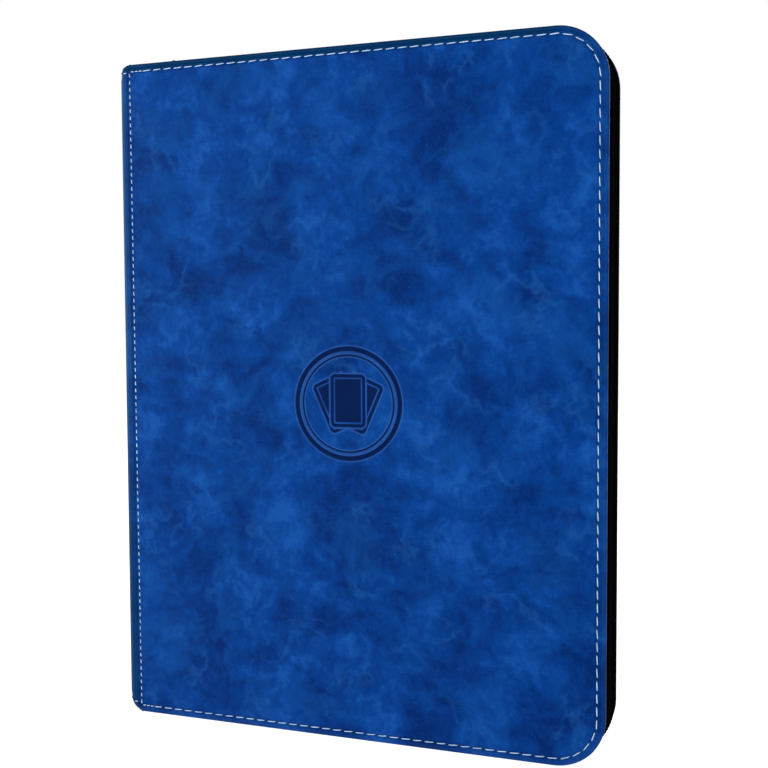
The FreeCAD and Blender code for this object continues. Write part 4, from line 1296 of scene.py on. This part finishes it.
def solid_material(name, dark, light, scale, roughness, metallic=0.0, bump=0.1, gloss=0.5):
    """Moulded plastic, board, foam or enamel: a slight change of tone and a fine surface."""
    n = Nodes(name)
    place = n.place()
    tone = n.ramp(n.noise(place, scale), [(0.3, dark), (0.7, light)])
    return n.finish(tone, n.bump(n.noise(place, scale * 6, 3), bump, 0.1),
                    Roughness=roughness, Metallic=metallic, Specular_IOR_Level=gloss)


LEATHER = leather_material()
THREAD = thread_material()
GUSSET_CLOTH = cloth_material("black_gusset_cloth", (0.0006, 0.0006, 0.0008), (0.0035, 0.0035, 0.004), 260)
LINING_CLOTH = cloth_material("black_lining_cloth", (0.006, 0.006, 0.007), (0.022, 0.022, 0.024), 220)
TAPE_CLOTH = cloth_material("black_zip_tape", (0.0006, 0.0006, 0.0008), (0.0045, 0.0045, 0.005), 300)
CHAIN_PLASTIC = solid_material("black_chain", (0.0006, 0.0006, 0.0008), (0.0022, 0.0022, 0.0026), 200, 0.6,
                               gloss=0.0)
METAL = solid_material("black_enamel", (0.010, 0.010, 0.011), (0.022, 0.022, 0.024), 150, 0.28, 0.6)
FOAM = solid_material("white_foam", (0.6, 0.6, 0.57), (0.72, 0.72, 0.69), 400, 0.9, 0.0, 0.4)
BOARD = solid_material("grey_board", (0.24, 0.21, 0.17), (0.34, 0.30, 0.25), 300, 0.85, 0.0, 0.3)
BINDING_CLOTH = cloth_material("black_binding_cloth", (0.005, 0.005, 0.006), (0.02, 0.02, 0.022), 180)
POCKET_FILM = solid_material("glossy_pocket_film", (0.012, 0.012, 0.014), (0.02, 0.02, 0.022), 30, 0.26,
                             gloss=0.35)
PAGE = solid_material("black_page", (0.008, 0.008, 0.009), (0.014, 0.014, 0.015), 60, 0.4, gloss=0.35)


# ------------------------------------------------------------------------------- pieces
def bend_at_fold(piece):
    """Bake the piece's placement into its mesh."""
    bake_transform(piece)


def make_leather(side):
    """A cover's leather; the front's stands for the whole spine's as well."""
    fine = side == FRONT
    leather = build_leather(side, 2.0 if fine else 3.2, 0.4 if fine else 0)
    leather.data.materials.append(LEATHER)
    bend_at_fold(leather)
    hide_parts(PREFIX[side] + "_cover_leather", *(["spine_leather"] if side == FRONT else []))


def make_stitches(side):
    """The two rows of stitches on a cover."""
    for row, places, long in (("edge", edge_places, EDGE_STITCH), ("hinge", hinge_places, HINGE_STITCH)):
        name = PREFIX[side] + "_" + row
        threads = lay_threads(name + "_thread", places(side, FACE - THREAD_SUNK), long)
        finish_piece(threads, THREAD, PREFIX[side] + "_cover", [name + "_stitches"])


def make_lining(side):
    """A cover's lining; the front's stands for the spine's as well."""
    lining, across, up = build_lining(side)
    lining.data.materials.append(LINING_CLOTH)
    bend_at_fold(lining)
    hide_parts(PREFIX[side] + "_cover_lining", *(["spine_lining"] if side == FRONT else []))


def make_zip_side(side):
    """A cover's gusset, zip tape, half chain and end stops."""
    body, prefix = PREFIX[side] + "_cover", PREFIX[side]
    gusset, long = sweep(prefix + "_gusset_cloth", gusset_section(side), gusset_low.x)
    finish_piece(gusset, GUSSET_CLOTH, body, [prefix + "_gusset"])
    tape, _ = sweep(prefix + "_tape", tape_section(side), tape_low.x)
    finish_piece(tape, TAPE_CLOTH, body, [prefix + "_zip_tape"])
    finish_piece(build_chain(side), CHAIN_PLASTIC, body, [prefix + "_zip_chain"])
    finish_piece(build_stops(side), METAL, body, [prefix + "_zip_stops"])


def make_page(node):
    """A leaf with its pockets."""
    finish_piece(build_page(node), PAGE, node, [node])
    finish_piece(build_pockets(node), POCKET_FILM, node)


for side in (FRONT, BACK):
    make_leather(side)
    make_stitches(side)
    make_lining(side)
    make_zip_side(side)
    foam = build_foam(PREFIX[side] + "_cover_foam")
    finish_piece(foam, FOAM, PREFIX[side] + "_cover", [PREFIX[side] + "_cover_foam"])
hems = lay_threads("spine_hem_thread", spine_places(), HINGE_STITCH)
finish_piece(hems, THREAD, "spine", ["spine_stitches"])
pad = finish_piece(build_spine_pad(), FOAM, "spine", ["spine_foam"])
finish_piece(build_slider(), METAL, "slider", ["zip_slider"])
finish_piece(build_puller(), METAL, "puller", ["zip_puller"])
finish_piece(build_binding(), BINDING_CLOTH, "spine", ["page_binding"])
for name in LEAVES:
    make_page(name)


# The boards are the CAD's own: every other node is replaced.
for thing in nodes.values():
    if not thing.hide_render:
        thing.data.materials.clear()
        thing.data.materials.append(BOARD)


# ------------------------------------------------------------------- camera, light, floor
MIDDLE = Vector((0, 0, HEIGHT / 2 * MM))
CAMERA_FAR = 1.697 * HEIGHT * MM                  # metres from the middle of the binder
CAMERA_RIGHT, CAMERA_ABOVE = 21.54, 4.19          # degrees round and up from straight in front
CAMERA_TURN, CAMERA_TILT, CAMERA_ROLL = 20.32, 3.60, -0.35
CAMERA_LENS = 53.9                                # on a sensor of 36 mm


def make_camera():
    """A camera right of and above the binder's middle, turned back towards it."""
    right_of, above = math.radians(CAMERA_RIGHT), math.radians(CAMERA_ABOVE)
    away = Vector((math.sin(right_of) * math.cos(above),
                   -math.cos(right_of) * math.cos(above),
                   math.sin(above)))
    turn = (Matrix.Rotation(math.radians(CAMERA_TURN), 4, "Z")
            @ Matrix.Rotation(math.radians(90 - CAMERA_TILT), 4, "X")
            @ Matrix.Rotation(math.radians(CAMERA_ROLL), 4, "Z"))
    data = bpy.data.cameras.new("camera")
    data.lens = CAMERA_LENS
    data.sensor_width = 36
    data.clip_start = 0.01
    camera = place_object("camera", data)
    camera.matrix_world = Matrix.Translation(MIDDLE + CAMERA_FAR * away) @ turn
    bpy.context.scene.camera = camera


def make_light(name, place, size, power):
    """A soft white panel that faces the middle of the binder; place and size are in metres."""
    data = bpy.data.lights.new(name, "AREA")
    data.shape = "RECTANGLE"
    data.size, data.size_y = size
    data.energy = power
    light = place_object(name, data)
    light.location = place
    light.rotation_euler = (MIDDLE - Vector(place)).to_track_quat("-Z", "Y").to_euler()


def make_world():
    """White all round the horizon and dimmer overhead, like a lit studio with a dark ceiling."""
    world = bpy.data.worlds.new("studio")
    world.use_nodes = True
    tree = world.node_tree
    place = tree.nodes.new("ShaderNodeTexCoord")
    split = tree.nodes.new("ShaderNodeSeparateXYZ")
    ramp = tree.nodes.new("ShaderNodeValToRGB")
    for element, (height, light) in zip(ramp.color_ramp.elements, ((0.30, 1.0), (0.62, 0.14))):
        element.position = height
        element.color = (light, light, light, 1)
    tree.links.new(place.outputs["Generated"], split.inputs["Vector"])
    tree.links.new(split.outputs["Z"], ramp.inputs["Fac"])
    tree.links.new(ramp.outputs["Color"], tree.nodes["Background"].inputs["Color"])
    tree.nodes["Background"].inputs["Strength"].default_value = 1.0
    bpy.context.scene.world = world
    bpy.context.scene.view_settings.view_transform = "Standard"


def make_studio():
    """Three soft panels and a pale floor."""
    make_light("key", (-0.9, -1.5, 0.45), (1.0, 0.8), 17)
    make_light("fill", (1.5, -1.2, 0.4), (1.4, 1.4), 6)
    make_light("back", (0.3, 1.4, 1.0), (1.6, 1.2), 12)
    half = 8000.0
    corners = [(-half, -half, 0), (half, -half, 0), (half, half, 0), (-half, half, 0)]
    floor = new_object("floor", corners, [(0, 1, 2, 3)], smooth=False)
    pale = solid_material("pale_floor", (0.90, 0.90, 0.90), (0.94, 0.94, 0.94), 3, 0.8, gloss=0.1)
    shader = pale.node_tree.nodes["Principled BSDF"]
    shader.inputs["Emission Color"].default_value = (1, 1, 1, 1)
    shader.inputs["Emission Strength"].default_value = 0.8
    floor.data.materials.append(pale)


make_camera()
make_world()
make_studio()
